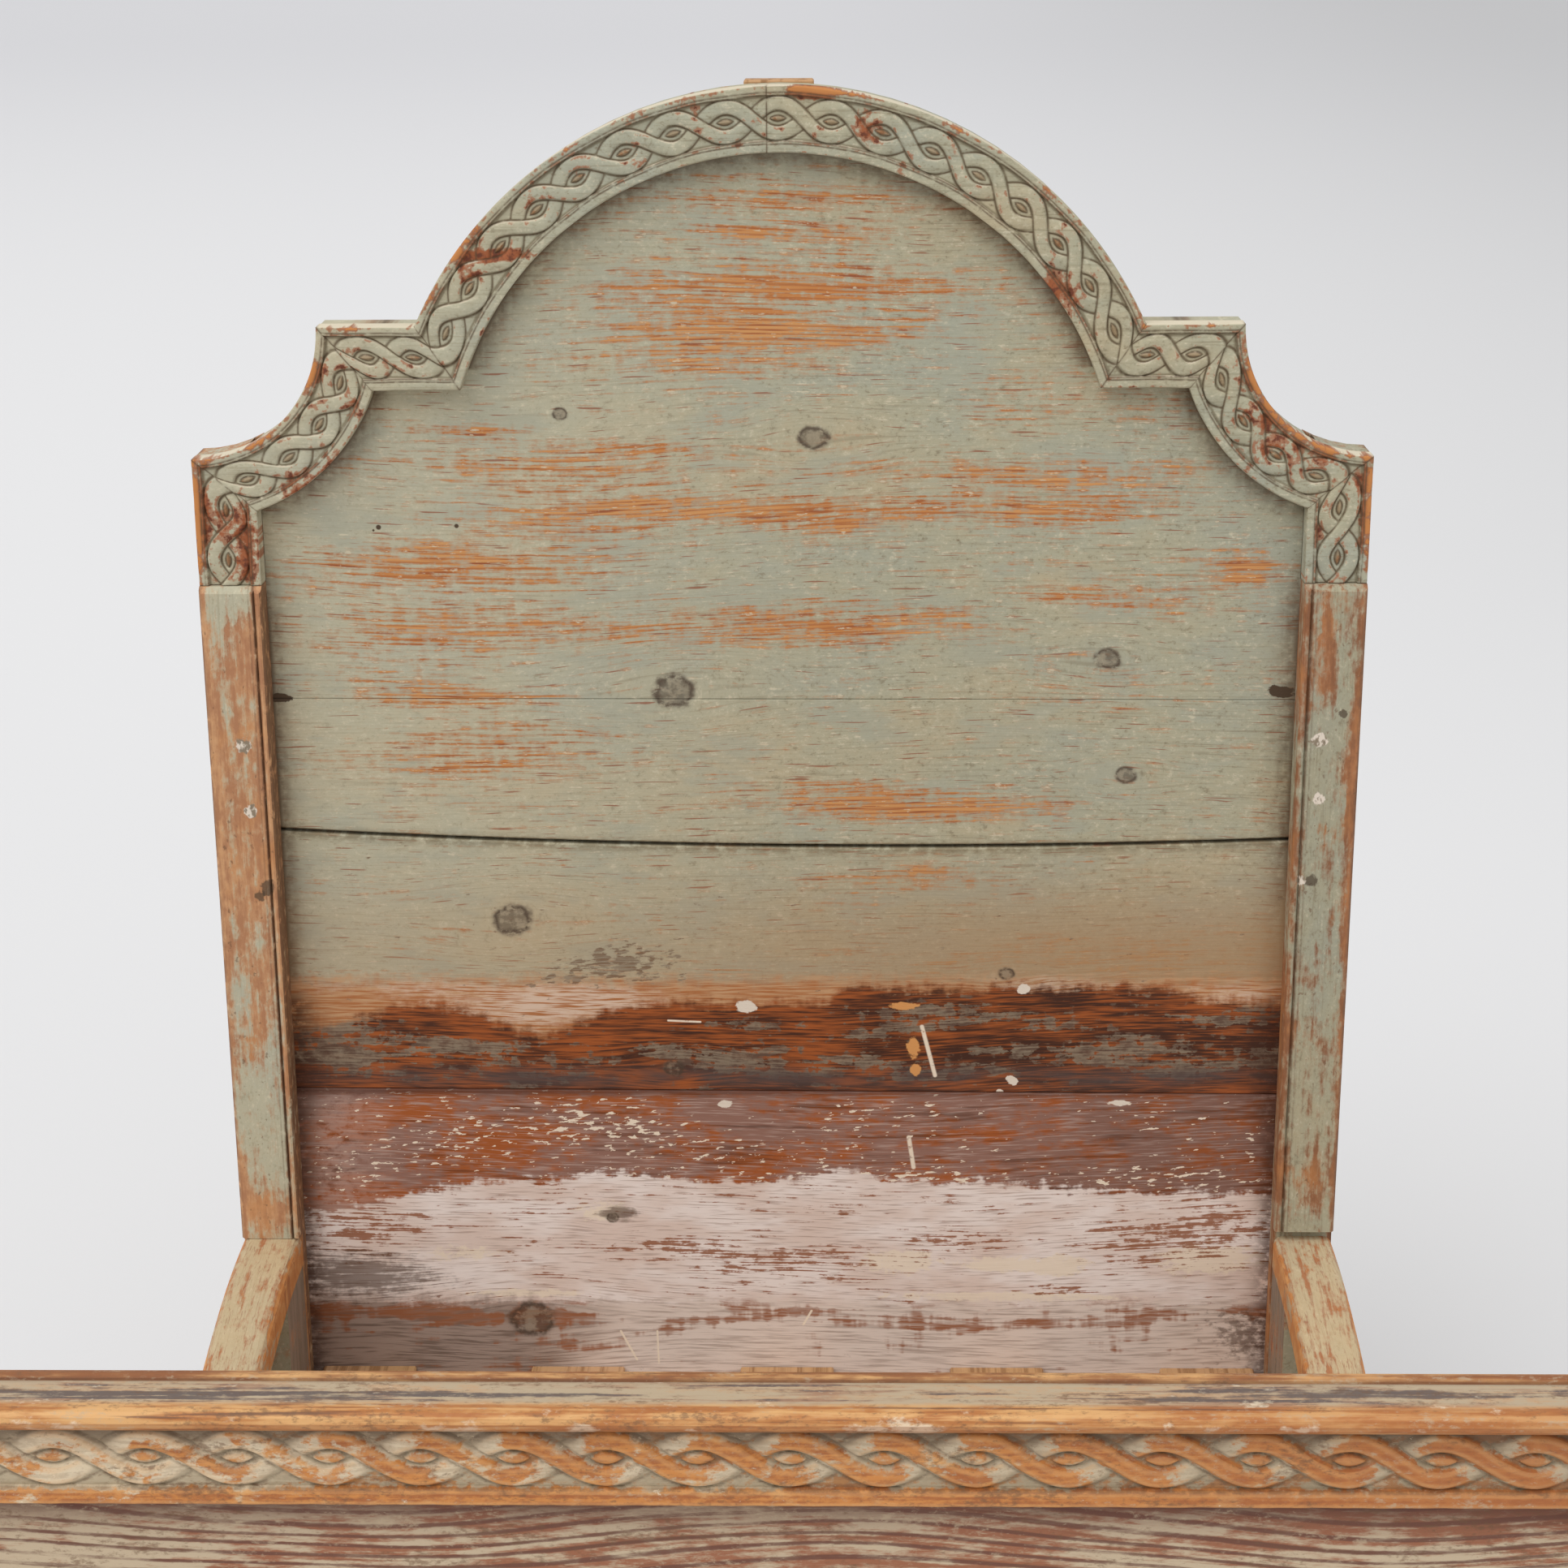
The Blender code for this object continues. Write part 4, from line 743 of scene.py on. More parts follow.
def carved_paint():
    """Sage paint on the carved frame: painted shade in the hollows and cut lines, dark mitre joints,
    painted light on the top faces and towards the left, worn arrises and chipped places.
    """
    p = Paint("carved_paint")
    cut, hollow, outer, seed = p.attributes("cut", "hollow", "outer", "seed")
    chip = p.pattern(34, 0, 34, seed=4, detail=5, roughness=0.65)
    rub = p.pattern(130, 0, 130, seed=6, detail=3)
    ridge = (hollow * -1.0).step(0.08, 0.6)
    worn = p.spots(CARVED_CHIPS, chip * 0.62 + rub * 0.38 + ridge * 0.06 + outer * 0.055)
    colour = p.layers(
        sage(p, p.x, p.z, p.y),
        # painted light: the paint lighter towards the left
        (p.x.step(-0.1, -0.42) * 0.24, SAGE_PALE),
        # painted shade in the carving's hollows
        (hollow.step(0.1, 0.9) * 0.6, SAGE_DARK),
        ((chip * 0.5 + rub * 0.5 + ridge * 0.1).step(0.6, 0.66) * 0.6, SAGE_PALE),
        # painted light on the faces that look up
        (p.normal_z.step(0.55, 0.9) * 0.8, TOP_PAINTED_LIGHT),
        (worn.step(0.585, 0.63) * 0.75, CHIP_BROWN),
        (worn.step(0.64, 0.68), p.blend(rub.step(0.45, 0.64), CHIP_BROWN, CHIP_DARK)),
        (outer * worn.step(0.65, 0.69), PINE_ORANGE),
        (seed * 0.6, SEED_BROWN),
        # painted shade in the knife cuts and quirks, with the dark mitre joints at the ends of each length
        (cut * (rub * 0.6 + chip * 0.4).step(0.32, 0.52) * 0.9, CUT_LINE))
    return p.finish(back_wood(p, colour, p.x, p.z), rub, roughness=0.7, bump_depth=0.0003)


def post_paint(name, base, wear, plaster, pale, dark):
    """Upright worn post: paint in patches, a bare bead, painted shade along its edges and on the left
    post's inner face, painted light on the left post and painted shade on the right one, old plaster in the
    nail holes.
    """
    p = Paint(name)
    across = abs(p.x) - POST_INNER
    streak = p.pattern(150, 150, 14, roughness=0.65)
    patch = p.pattern(22, 22, 11, roughness=0.6)
    broken = p.pattern(120, 120, 75, detail=5, roughness=0.65)
    speck = p.pattern(210, 210, 150, detail=2)
    edge = across.near(BAND, 0.0055) * 0.1 + (across / 0.008).falloff() * 0.09
    worn = p.spots(wear, streak * 0.34 + patch * 0.36 + broken * 0.3 + edge + base)
    wood = p.layers(
        pale,
        ((streak * 0.6 + broken * 0.4).step(0.4, 0.6), dark),
        (patch.step(0.54, 0.66) * 0.5, PINE_ORANGE))
    inner = (p.normal_x * p.x).step(-0.1, -0.3) * p.x.step(0.1, -0.1)
    lines = across.near(BEAD_WIDTH, 0.0013).larger(across.near(BAND, 0.0022) * 0.8)
    lines = lines.larger(across.near(BEAD_WIDTH * 1.5, 0.0009) * 0.5)
    colour = p.layers(
        sage(p, p.z, p.x, p.y),
        # painted light on the left post and painted shade on the right one
        (p.x.step(0.1, -0.1) * 0.3, SAGE_PALE),
        (p.x.step(-0.1, 0.1) * 0.18, SAGE_DARK),
        (worn.step(0.45, 0.57) * 0.92, wood),
        # painted shade on the left post's inner face
        (inner * broken.step(0.3, 0.5) * 0.75, POST_SHADE),
        (speck.step(0.66, 0.74) * 0.6, SPECK),
        # painted shade along the bead's quirks and the outer edge
        (lines * broken.step(0.3, 0.52) * 0.75, POST_SHADE))
    rough = (broken - 0.5) * 2.2
    for x, z, radius in POST_GOUGES:
        gouge = (p.distance(x, z, radius, radius * 1.2) + rough).step(1.0, 0.7)
        colour = p.blend(gouge * 0.8, colour, GRIME)
    for x, z, radius in plaster:
        dab = (p.distance(x, z, radius, radius) + rough).step(1.0, 0.75)
        colour = p.blend(dab, colour, p.blend(speck.step(0.45, 0.6), PLASTER, STAIN_GREY))
    height = worn.step(0.52, 0.55) * -0.5 + streak * 0.4 + broken * 0.2
    return p.finish(back_wood(p, colour, p.z, p.x), height, roughness=0.64, bump_depth=0.0006)


def arm_paint():
    """Swept arms: cream-sage paint, cracked along the grain and rubbed off the edges."""
    p = Paint("arm_paint")
    across = abs(p.x) - POST_INNER
    streak = p.pattern(160, 9, 60, roughness=0.6)
    broken = p.pattern(110, 60, 60, detail=5, roughness=0.65)
    patch = p.pattern(30, 14, 14, detail=3)
    crack = p.noise(p.x * 240, p.y * 16, 5.0, detail=2)
    edge = (across / 0.0065).falloff() + across.near(BAND, 0.0045)
    worn = streak * 0.45 + broken * 0.3 + patch * 0.25 + edge * 0.1
    paint = p.blend(0.55, sage(p, p.y, p.x, p.z), CREAM_SAGE)
    edge_wood = p.blend(broken.step(0.4, 0.6), PINE_PALE, PINE_ORANGE)
    wood = p.layers(PINE_ORANGE, (streak.step(0.44, 0.62), POST_BROWN), (edge.step(0.3, 0.8), edge_wood))
    colour = worn_through(p, worn, ARM_BARE_AT, paint, wood)
    colour = p.blend(crack.near(0.5, 0.01) * 0.55, colour, RED_BROWN)
    height = worn.step(0.545, 0.575) * -0.5 + streak * 0.4
    return p.finish(colour, height, roughness=0.64, bump_depth=0.0006)


def side_paint(name, upright):
    """Low sides: sage paint, stained grey on the inner faces, rubbed through to the wood."""
    p = Paint(name)
    along, across = (p.z, p.y) if upright else (p.y, p.z)
    streak = p.noise(p.x * 9, along * 5, across * 150, roughness=0.6)
    broken = p.pattern(70, 50, 80, detail=5, roughness=0.65)
    patch = p.pattern(8, 8, 20, detail=3)
    worn = streak * 0.4 + broken * 0.3 + patch * 0.3
    inside = (p.normal_x * p.x).step(0.0, -0.02)
    stained = p.blend(streak.step(0.36, 0.68), SCRUBBED_DARK, SCUFF)
    paint = p.blend(inside * 0.8, sage(p, along, across, p.x), stained)
    wood = p.blend(streak.step(0.44, 0.62), PINE_TAN, RED_BROWN)
    height = worn.step(0.555, 0.585) * -0.5 + streak * 0.4
    colour = worn_through(p, worn, SIDE_BARE_AT, paint, wood)
    return p.finish(colour, height, roughness=0.68, bump_depth=0.0006)


# Depths on the cap from its back: end of the bead, quirk, and flat strip's start and end
CAP_BEAD_END = (0.013, 0.01)
CAP_QUIRK = 0.013
CAP_STRIP_START = (0.012, 0.015)
CAP_STRIP_END = (0.043, 0.037)

# Pale scuffs on the cap's nose as centre, half length, half height and strength
CAP_SCUFFS = thousandths(
    (-382, 952, 50, 8, 150), (-164, 951, 30, 9, 150), (-88, 950, 12, 10, 160), (83, 952, 40, 8, 160),
    (105, 950, 16, 8, 150), (254, 951, 30, 9, 130), (317, 952, 20, 7, 130), (470, 951, 40, 7, 130))


def cap_wood():
    """Moulded cap of the footboard: bare on the roundings, paint and slate dirt on the flat strip, painted
    shade in the quirk and on the faces that look down.
    """
    p = Paint("cap_wood")
    depth = p.y * -1.0 + CAP_BACK_Y
    streak = p.pattern(7, 190, 190, roughness=0.6)
    smear = p.noise(p.x * 5, p.y * 90, 4.0, roughness=0.6)
    patch = p.pattern(16, 60, 60, roughness=0.65)
    broken = p.pattern(70, 110, 110, detail=5, roughness=0.65)
    even = patch * 0.5 + streak * 0.5
    bare = p.layers(
        FOOT_WOOD_PALE,
        (even.step(0.42, 0.56), FOOT_WOOD),
        ((patch * 0.6 + streak * 0.4).step(0.52, 0.64) * 0.75, FRIEZE_BROWN),
        (streak.step(0.56, 0.66) * 0.75, FOOT_DARK),
        (p.x.step(0.1, 0.5) * 0.4, FRIEZE_BROWN))
    left = depth.near(0.031, 0.006) * p.x.step(0.1, -0.2)
    right = depth.near(0.027, 0.007) * p.x.near(0.36, 0.14)
    slate = smear * 0.4 + streak * 0.4 + broken * 0.2 + left * 0.09 + right * 0.06
    strip = p.layers(
        STRIP_BEIGE,
        ((smear * 0.6 + broken * 0.4).step(0.46, 0.6) * 0.8, BARE_TAN),
        (even.step(0.5, 0.62) * 0.6, FOOT_RED),
        (slate.step(0.53, 0.6) * 0.9, STRIP_BLUE))
    pale = p.spots(CAP_SCUFFS, patch * 0.4 + broken * 0.6)
    worn_bead = depth.step(*CAP_BEAD_END) * even.step(0.36, 0.54)
    colour = p.layers(
        bare,
        (depth.step(*CAP_STRIP_START) * depth.step(*CAP_STRIP_END), strip),
        (pale.step(0.58, 0.68) * 0.8, FOOT_SCUFF),
        (worn_bead * 0.85, POST_DARK),
        # painted shade in the quirk
        (depth.near(CAP_QUIRK, 0.0026) * 0.9, FOOT_DARK),
        # painted shade on the faces that look down
        (p.normal_z.step(0.45, -0.35) * 0.45, FRIEZE_BROWN))
    return p.finish(grimy(p, colour), streak * 0.5 + broken * 0.3, roughness=0.55, bump_depth=0.0006)


def frieze_wood():
    """Carved twist of the footboard: bare on the crossing bands, paint on the tucked ends, painted shade in
    the pockets and cut lines.
    """
    p = Paint("frieze_wood")
    cut, sunk, tucked, hollow = p.attributes("cut", "sunk", "tucked", "hollow")
    streak = p.pattern(12, 0, 330, seed=3, detail=3)
    patch = p.pattern(30, 0, 60, seed=4, detail=5, roughness=0.62)
    broken = p.pattern(110, 0, 200, seed=5, detail=5, roughness=0.7)
    even = streak * 0.5 + broken * 0.5
    right = p.x.step(0.05, 0.5)
    wood = p.layers(
        FRIEZE_WOOD,
        (even.step(0.42, 0.58), FRIEZE_BROWN),
        (patch.step(0.54, 0.68) * 0.7, FOOT_WOOD_PALE),
        (right * 0.72, FRIEZE_BROWN))
    paint = p.layers(
        FRIEZE_PAINT,
        (even.step(0.45, 0.58) * 0.6, STRIP_BEIGE),
        (p.x.step(-0.4, 0.5) * 0.42, SAGE_DARK))
    fillet = (p.z - FRIEZE_LOW.z).step(FRIEZE_FILLET, FRIEZE_FILLET * 0.8)
    painted = patch * 0.5 + broken * 0.5 + tucked * 0.12 + sunk * 0.1
    painted = painted + p.x.step(-0.05, -0.5) * 0.1 - right * 0.03 - fillet * 0.07
    shaded = p.z.near(FRIEZE_HIGH.z, 0.011) * sunk.step(0.4, 0.9)
    colour = p.layers(
        wood,
        (painted.step(0.54, 0.62) * 0.95, paint),
        ((hollow * -1.0).step(0.05, 0.5) * 0.3, FOOT_WOOD_PALE),
        # painted shade in the sunk pockets
        (sunk.step(0.7, 1.0) * 0.45, SAGE_DARK),
        (shaded * 0.7, POST_SHADE),
        # painted shade in the cut lines
        (cut * broken.step(0.32, 0.56) * 0.58, CUT_LINE),
        ((patch * 0.3 + broken * 0.7).step(0.61, 0.66) * 0.8, FOOT_SCUFF))
    return p.finish(grimy(p, colour), streak * 0.4 + broken * 0.3, roughness=0.58, bump_depth=0.0005)


def foot_panel(name, upright):
    """Foot boards: beige paint worn off in long patches, growth lines, a dark band of stain and painted
    shade under the frieze.
    """
    p = Paint(name)
    along, across = (p.z, p.x + p.y) if upright else (p.x, p.z)
    grain = across + (p.noise(along * 1.1, 2.0, across * 3, detail=2) - 0.5) * 0.22
    late = growth_lines(p, along, grain, *FOOT_GROWTH_LINES)
    patch = p.noise(along * 4, 6.0, across * 15, detail=5, roughness=0.65)
    broken = p.noise(along * 34, p.y * 20, across * 150, detail=5, roughness=0.7)
    streak = p.noise(along * 8, 3.0, grain * 260, detail=3)
    worn = patch * 0.42 + broken * 0.36 + streak * 0.22
    lines = (late + (broken - 0.5)).step(0.2, 0.9) * worn.step(0.36, 0.5)
    # stain and painted shade under the frieze
    stain_and_shade = p.z.near(FRIEZE_LOW.z, 0.017) * (patch * 0.6 + broken * 0.4).step(0.28, 0.46)
    colour = p.layers(
        FOOT_BEIGE,
        (worn.step(0.46, 0.55), FOOT_RED),
        (lines * 0.85, FOOT_GROWTH),
        (streak.step(0.58, 0.7) * 0.4, FOOT_DARK),
        (stain_and_shade * 0.95, FOOT_GROWTH))
    return p.finish(grimy(p, colour), streak * 0.5 + broken * 0.2, roughness=0.66, bump_depth=0.0007)


# Unpainted pine: frequencies of its lines where the grain runs along x, y or z
PINE_LINES = {"x": (2, 60, 160), "y": (160, 2, 60), "z": (160, 60, 2)}


def bare_pine(name, axis):
    """Unpainted aged pine with the grain along one axis of the bed."""
    p = Paint(name)
    lines = p.pattern(*PINE_LINES[axis])
    drift = p.pattern(6, 6, 6, detail=3)
    speck = p.pattern(120, 120, 120, detail=2)
    colour = p.layers(
        AGED_PINE,
        (drift.step(0.35, 0.65), BARE_TAN),
        (lines.step(0.46, 0.64) * 0.8, AGED_PINE_DARK),
        (speck.step(0.66, 0.76) * 0.5, GRIME))
    return p.finish(colour, lines, roughness=0.66, bump_depth=0.0005)


# Carved frame: mitre lines between its lengths, each as outer and inner end

def mitre(outer, inner):
    return np.array(outer), np.array(inner)


SHOULDER_REACH = math.sqrt((SHOULDER_RADIUS + BAND) ** 2 - BAND ** 2)
ARCH_INNER_X = math.sqrt(ARCH_INNER_RADIUS ** 2 - (STEP_Z - BAND - ARCH_CENTRE[1]) ** 2)
STUB_FOOT = mitre((HALF, STUB_LOW.z), (POST_INNER, STUB_LOW.z))
SHOULDER_MITRE = mitre((HALF, STEP_Z - SHOULDER_RADIUS), (POST_INNER, STEP_Z - SHOULDER_REACH))
STEP_MITRE = mitre((STEP_OUTER, STEP_Z), (HALF - SHOULDER_REACH, STEP_Z - BAND))
ARCH_MITRE = mitre((STEP_INNER, STEP_Z), (ARCH_INNER_X, STEP_Z - BAND))


def crown_joint(side):
    """Upright joint of the two half arches, near the crown."""
    x = side * JOINT_X
    outer = ARCH_CENTRE[1] + math.sqrt(ARCH_RADIUS ** 2 - x ** 2)
    inner = ARCH_CENTRE[1] + math.sqrt(ARCH_INNER_RADIUS ** 2 - x ** 2)
    return mitre((x, outer), (x, inner))


def on_mitre(line, inset):
    share = (inset / BAND)[..., None]
    return line[0] + (line[1] - line[0]) * share


def skewed(share, start_offset, end_offset, length, turns):
    """Run along a strip; the slant of a mitre fades out within about one turn of the twist."""
    fade = max(turns, 2.0)
    return share * length + start_offset * (1 - share) ** fade + end_offset * share ** fade


def straight_strip(start, end, turns):
    """Places on a straight strip; returns the placing function and its middle length."""
    middle = np.array(BAND / 2)
    origin = on_mitre(start, middle)
    run = on_mitre(end, middle) - origin
    length = float(np.linalg.norm(run))
    direction = run / length

    def place(inset, share):
        first = on_mitre(start, inset)
        start_offset = (first - origin) @ direction
        end_offset = (on_mitre(end, inset) - origin) @ direction - length
        along = skewed(share, start_offset, end_offset, length, turns)
        return first + (along - start_offset)[..., None] * direction
    return place, length


def circle_angle(line, centre, radius):
    """Angle at which circles of these radii cross a mitre line."""
    origin = line[0] - np.array(centre)
    step = line[1] - line[0]
    a = step @ step
    b = 2 * (origin @ step)
    c = origin @ origin - radius ** 2
    root = np.sqrt(np.maximum(b * b - 4 * a * c, 0.0))
    shares = np.stack([(-b - root) / (2 * a), (-b + root) / (2 * a)])
    share = np.take_along_axis(shares, np.abs(shares - 0.5).argmin(0)[None], 0)[0]
    point = origin + step * share[..., None]
    return np.arctan2(point[..., 1], point[..., 0]) % math.tau


def curved_strip(start, end, centre, outer_radius, inward, turns):
    """Places on a strip round a centre; inward is -1 for an arch and +1 for a hollow."""
    middle_radius = np.array(outer_radius + inward * BAND / 2)
    first_middle = circle_angle(start, centre, middle_radius)
    sweep = circle_angle(end, centre, middle_radius) - first_middle

    def place(inset, share):
        radius = outer_radius + inward * inset
        start_offset = circle_angle(start, centre, radius) - first_middle
        end_offset = circle_angle(end, centre, radius) - first_middle - sweep
        angle = first_middle + skewed(share, start_offset, end_offset, sweep, turns)
        spot = np.stack([np.cos(angle), np.sin(angle)], -1) * radius[..., None]
        return spot + np.array(centre)
    return place, float(abs(sweep) * middle_radius)


# Relief of the carving

def wander(x, z, scale):
    """A smooth unevenness of the hand, between about -1 and 1."""
    u = x * 100
    v = z * 100
    first = np.sin(u * 1.7 * scale + 1.3 * np.sin(v * 0.9 * scale))
    second = np.sin(u * 0.61 * scale - v * 1.37 * scale + 2.1)
    return (first + second) / 2


def smooth_step(value, low, high):
    share = np.clip((value - low) / (high - low), 0.0, 1.0)
    return share * share * (3 - 2 * share)


def cut_line(distance):
    """A knife cut of full strength where the distance is zero."""
    return np.exp(-(distance / CUT_WIDTH) ** 2)


def arris_depth(from_edge):
    """Depth that a rounded arris takes off at a distance from the edge."""
    rounding = np.clip(ARRIS - from_edge, 0.0, ARRIS)
    return ARRIS - np.sqrt(ARRIS ** 2 - rounding ** 2)


def twist_relief(turn, off_centre, half_channel, pitch, relief):
    """Two ribbons that cross at whole turns, the falling one on top, with a seed in each eye.

    Returns the depth, the cut lines along the ribbons and seeds, the ends that tuck under and the seeds.
    """
    half_ribbon = relief.ribbon / 2
    swing = half_channel - half_ribbon - RIBBON_SIDE_GAP
    rise = np.cos(np.pi * turn)
    distances = []
    for sign in (-1, 1):
        centre = sign * swing * np.sin(np.pi * turn)
        slope = swing * np.pi * rise / pitch
        distances.append(np.abs(off_centre - centre) / np.sqrt(1 + slope ** 2))
    from_eye = (turn - np.floor(turn) - 0.5) * pitch
    lens = (from_eye / (relief.seed_length / 2)) ** 2 + np.abs(off_centre) / (relief.seed_width / 2)
    depth = relief.floor - relief.seed * np.sqrt(np.clip(1 - lens, 0.0, 1.0))
    near_seed = np.abs(from_eye) < relief.seed_length * SEED_CUT_SHARE
    cut = cut_line((lens - 1) * relief.seed_width / 2) * near_seed
    tucked = np.zeros(turn.shape)
    covered = np.zeros(turn.shape)
    for sign, own, other in ((-1, *distances), (1, *distances[::-1])):
        under = np.clip(sign * rise, 0.0, 1.0)
        inside = smooth_step(own, half_ribbon, half_ribbon - relief.edge)
        top = RIBBON_TOP + relief.dip * under ** DIP_POWER - relief.crown * (1 - (own / half_ribbon) ** 2)
        depth = np.minimum(depth, relief.floor + (top - relief.floor) * inside)
        seen = np.where((under > 0) & (other < half_ribbon), 0.0, 1.0)
        cut = np.maximum(cut, cut_line(own - half_ribbon - CUT_WIDTH / 2) * seen)
        tucked = np.maximum(tucked, under * inside * seen)
        covered = np.maximum(covered, inside)
    seed = smooth_step(lens, *SEED_RIM) * (1 - covered)
    return depth, cut, tucked, seed


def band_relief(inset, turn, pitch):
    """Depth below the front face, cut lines and seeds of the whole carved band."""
    channel_end = BAND - INNER_FILLET
    half_channel = (channel_end - OUTER_FILLET) / 2
    off_centre = OUTER_FILLET + half_channel - inset
    carved, cut, _, seed = twist_relief(turn, off_centre, half_channel, pitch, HEADBOARD_RELIEF)
    inside = smooth_step(inset, OUTER_FILLET, OUTER_FILLET + CHANNEL_WALL)
    inside = inside * smooth_step(inset, channel_end, channel_end - CHANNEL_WALL)
    cut = cut * inside
    for line in (OUTER_FILLET, OUTER_FILLET - QUIRK_INSET, channel_end, channel_end + QUIRK_INSET):
        cut = np.maximum(cut, cut_line(inset - line))
    arris = arris_depth(np.minimum(inset, BAND - inset))
    return carved * inside + cut * CUT_DEPTH + arris, cut, seed


def hollow_marks(depth):
    """Hollowness of a carved surface against the mean around it: positive in cuts, negative on arrises."""
    side = 2 * HOLLOW_REACH + 1
    padded = np.pad(depth, HOLLOW_REACH, "edge")
    around = np.lib.stride_tricks.sliding_window_view(padded, (side, side)).mean((2, 3))
    return (depth - around) / HOLLOW_DEPTH


# Carved meshes

def add_object(name, data):
    """A new object in the scene."""
    thing = bpy.data.objects.new(name, data)
    bpy.context.scene.collection.objects.link(thing)
    return thing


def cells(length, width):
    """Cell counts along and across a carved face."""
    return int(length / ALONG_GRID) + 1, int(width / ACROSS_GRID) + 1


def swept_solid(name, front, back_y, marks, material):
    """A closed mesh from a grid of front places and the plane of its back."""
    back = front[:, [-1, 0]].copy()
    back[..., 1] = back_y
    rows, columns = front.shape[:2]
    sections = np.concatenate([front, back], 1)
    ring = sections.shape[1]
    index = np.arange(rows * ring).reshape(rows, ring)
    near, far = index[:-1], index[1:]
    quads = np.stack([near, np.roll(near, -1, 1), np.roll(far, -1, 1), far], -1).reshape(-1, 4)
    faces = quads.tolist() + [index[0][::-1].tolist(), index[-1].tolist()]
    mesh = bpy.data.meshes.new(name)
    mesh.from_pydata(sections.reshape(-1, 3).tolist(), [], faces)
    mesh.update()
    if mesh.polygons[columns // 2].normal.y > 0:
        mesh.flip_normals()
    for label, values in marks.items():
        padded = np.concatenate([values, np.zeros(back.shape[:2])], 1)
        attribute = mesh.attributes.new(label, "FLOAT", "POINT")
        attribute.data.foreach_set("value", padded.ravel().astype(np.float32))
    mesh.shade_smooth()
    mesh.set_sharp_from_angle(angle=SHARP_ANGLE)
    mesh.materials.append(material)
    return add_object(name, mesh)


def carved_piece(name, side, strip, turns, material):
    """One length of the headboard's carved frame; turns are counted along it from its lower end."""
    place, length = strip
    rows, columns = cells(length, BAND)
    share, inset = np.meshgrid(np.linspace(0, 1, rows), np.linspace(0, BAND, columns), indexing="ij")
    turn = turns * share
    pitch = length / abs(turns)
    spot = place(inset, share)
    x = spot[..., 0]
    z = spot[..., 1]
    uneven = wander(x, z, HEADBOARD_STRAY.slow)
    depth, cut, seed = band_relief(inset + uneven * INSET_STRAY, turn + uneven * TURN_STRAY, pitch)
    cut = np.maximum(cut, cut_line(np.minimum(share, 1 - share) * length))
    depth = depth + HEADBOARD_STRAY.depth * wander(x, z, HEADBOARD_STRAY.quick)
    front = np.stack([side * x, STUB_LOW.y + depth, z], -1)
    outer = smooth_step(inset, OUTER_FILLET, OUTER_FILLET * 0.3)
    marks = {"cut": cut, "seed": seed, "hollow": hollow_marks(depth), "outer": outer}
    piece = swept_solid(name + "_relief", front, STUB_HIGH.y, marks, material)
    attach(piece, "head_section")
    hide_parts(name)


def carve_headboard(material):
    """All eight lengths; the twist runs on from the left stub over the crown to the right stub."""
    arch_middle = ARCH_RADIUS - BAND / 2
    joint_shift = math.asin(JOINT_X / arch_middle)
    half_sweep = math.pi / 2 - float(circle_angle(ARCH_MITRE, ARCH_CENTRE, np.array(arch_middle)))
    left_turns = ARCH_TURNS * (half_sweep + joint_shift) / (2 * half_sweep)
    stub = straight_strip(STUB_FOOT, SHOULDER_MITRE, STUB_TURNS)
    shoulder = curved_strip(SHOULDER_MITRE, STEP_MITRE, SHOULDER_CENTRE, SHOULDER_RADIUS, 1, SHOULDER_TURNS)
    step = straight_strip(STEP_MITRE, ARCH_MITRE, STEP_TURNS)
    for side, word, arch_turns in ((-1, "left", left_turns), (1, "right", ARCH_TURNS - left_turns)):
        arch = curved_strip(ARCH_MITRE, crown_joint(side), ARCH_CENTRE, ARCH_RADIUS, -1, arch_turns)
        carved_piece(f"{word}_carved_stub", side, stub, -side * STUB_TURNS, material)
        carved_piece(f"{word}_carved_shoulder", side, shoulder, -side * SHOULDER_TURNS, material)
        carved_piece(f"{word}_carved_step", side, step, -side * STEP_TURNS, material)
        carved_piece(f"{word}_carved_arch", side, arch, -side * arch_turns, material)


def carve_frieze(material):
    """The footboard's twist, in a channel between the cap and a plain fillet."""
    low, high = FRIEZE_LOW, FRIEZE_HIGH
    rows, columns = cells(high.x - low.x, high.z - low.z)
    x, z = np.meshgrid(np.linspace(low.x, high.x, rows), np.linspace(high.z, low.z, columns), indexing="ij")
    half_channel = (high.z - low.z - FRIEZE_FILLET) / 2
    turn = (x - FRIEZE_EYE_X) / FRIEZE_PITCH + 0.5 + wander(x, z, FRIEZE_STRAY.slow) * TURN_STRAY
    off_centre = z - (high.z - half_channel)
    carved, cut, tucked, _ = twist_relief(turn, off_centre, half_channel, FRIEZE_PITCH, FRIEZE_RELIEF)
    inside = smooth_step(z, low.z + FRIEZE_FILLET, low.z + FRIEZE_FILLET + CHANNEL_WALL)
    cut = np.maximum(cut * inside, cut_line(z - low.z - FRIEZE_FILLET))
    depth = carved * inside + cut * CUT_DEPTH + arris_depth(z - low.z)
    depth = depth + FRIEZE_STRAY.depth * wander(x, z, FRIEZE_STRAY.quick)
    front = np.stack([x, low.y + depth, z], -1)
    sunk = np.clip(carved * inside / FRIEZE_RELIEF.floor, 0.0, 1.0)
    marks = {"cut": cut, "sunk": sunk, "tucked": tucked * inside, "hollow": hollow_marks(depth)}
    piece = swept_solid("foot_frieze_relief", front, high.y, marks, material)
    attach(piece, "foot_section")
    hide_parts("foot_carved_frieze")


# Dressing of the frame's own nodes

def dress(names, material):
    for name in names:
        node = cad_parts[name]
        if not node.material_slots:
            node.data.materials.append(None)
        for slot in node.material_slots:
            slot.material = material


def both(name):
    return [f"left_{name}", f"right_{name}"]


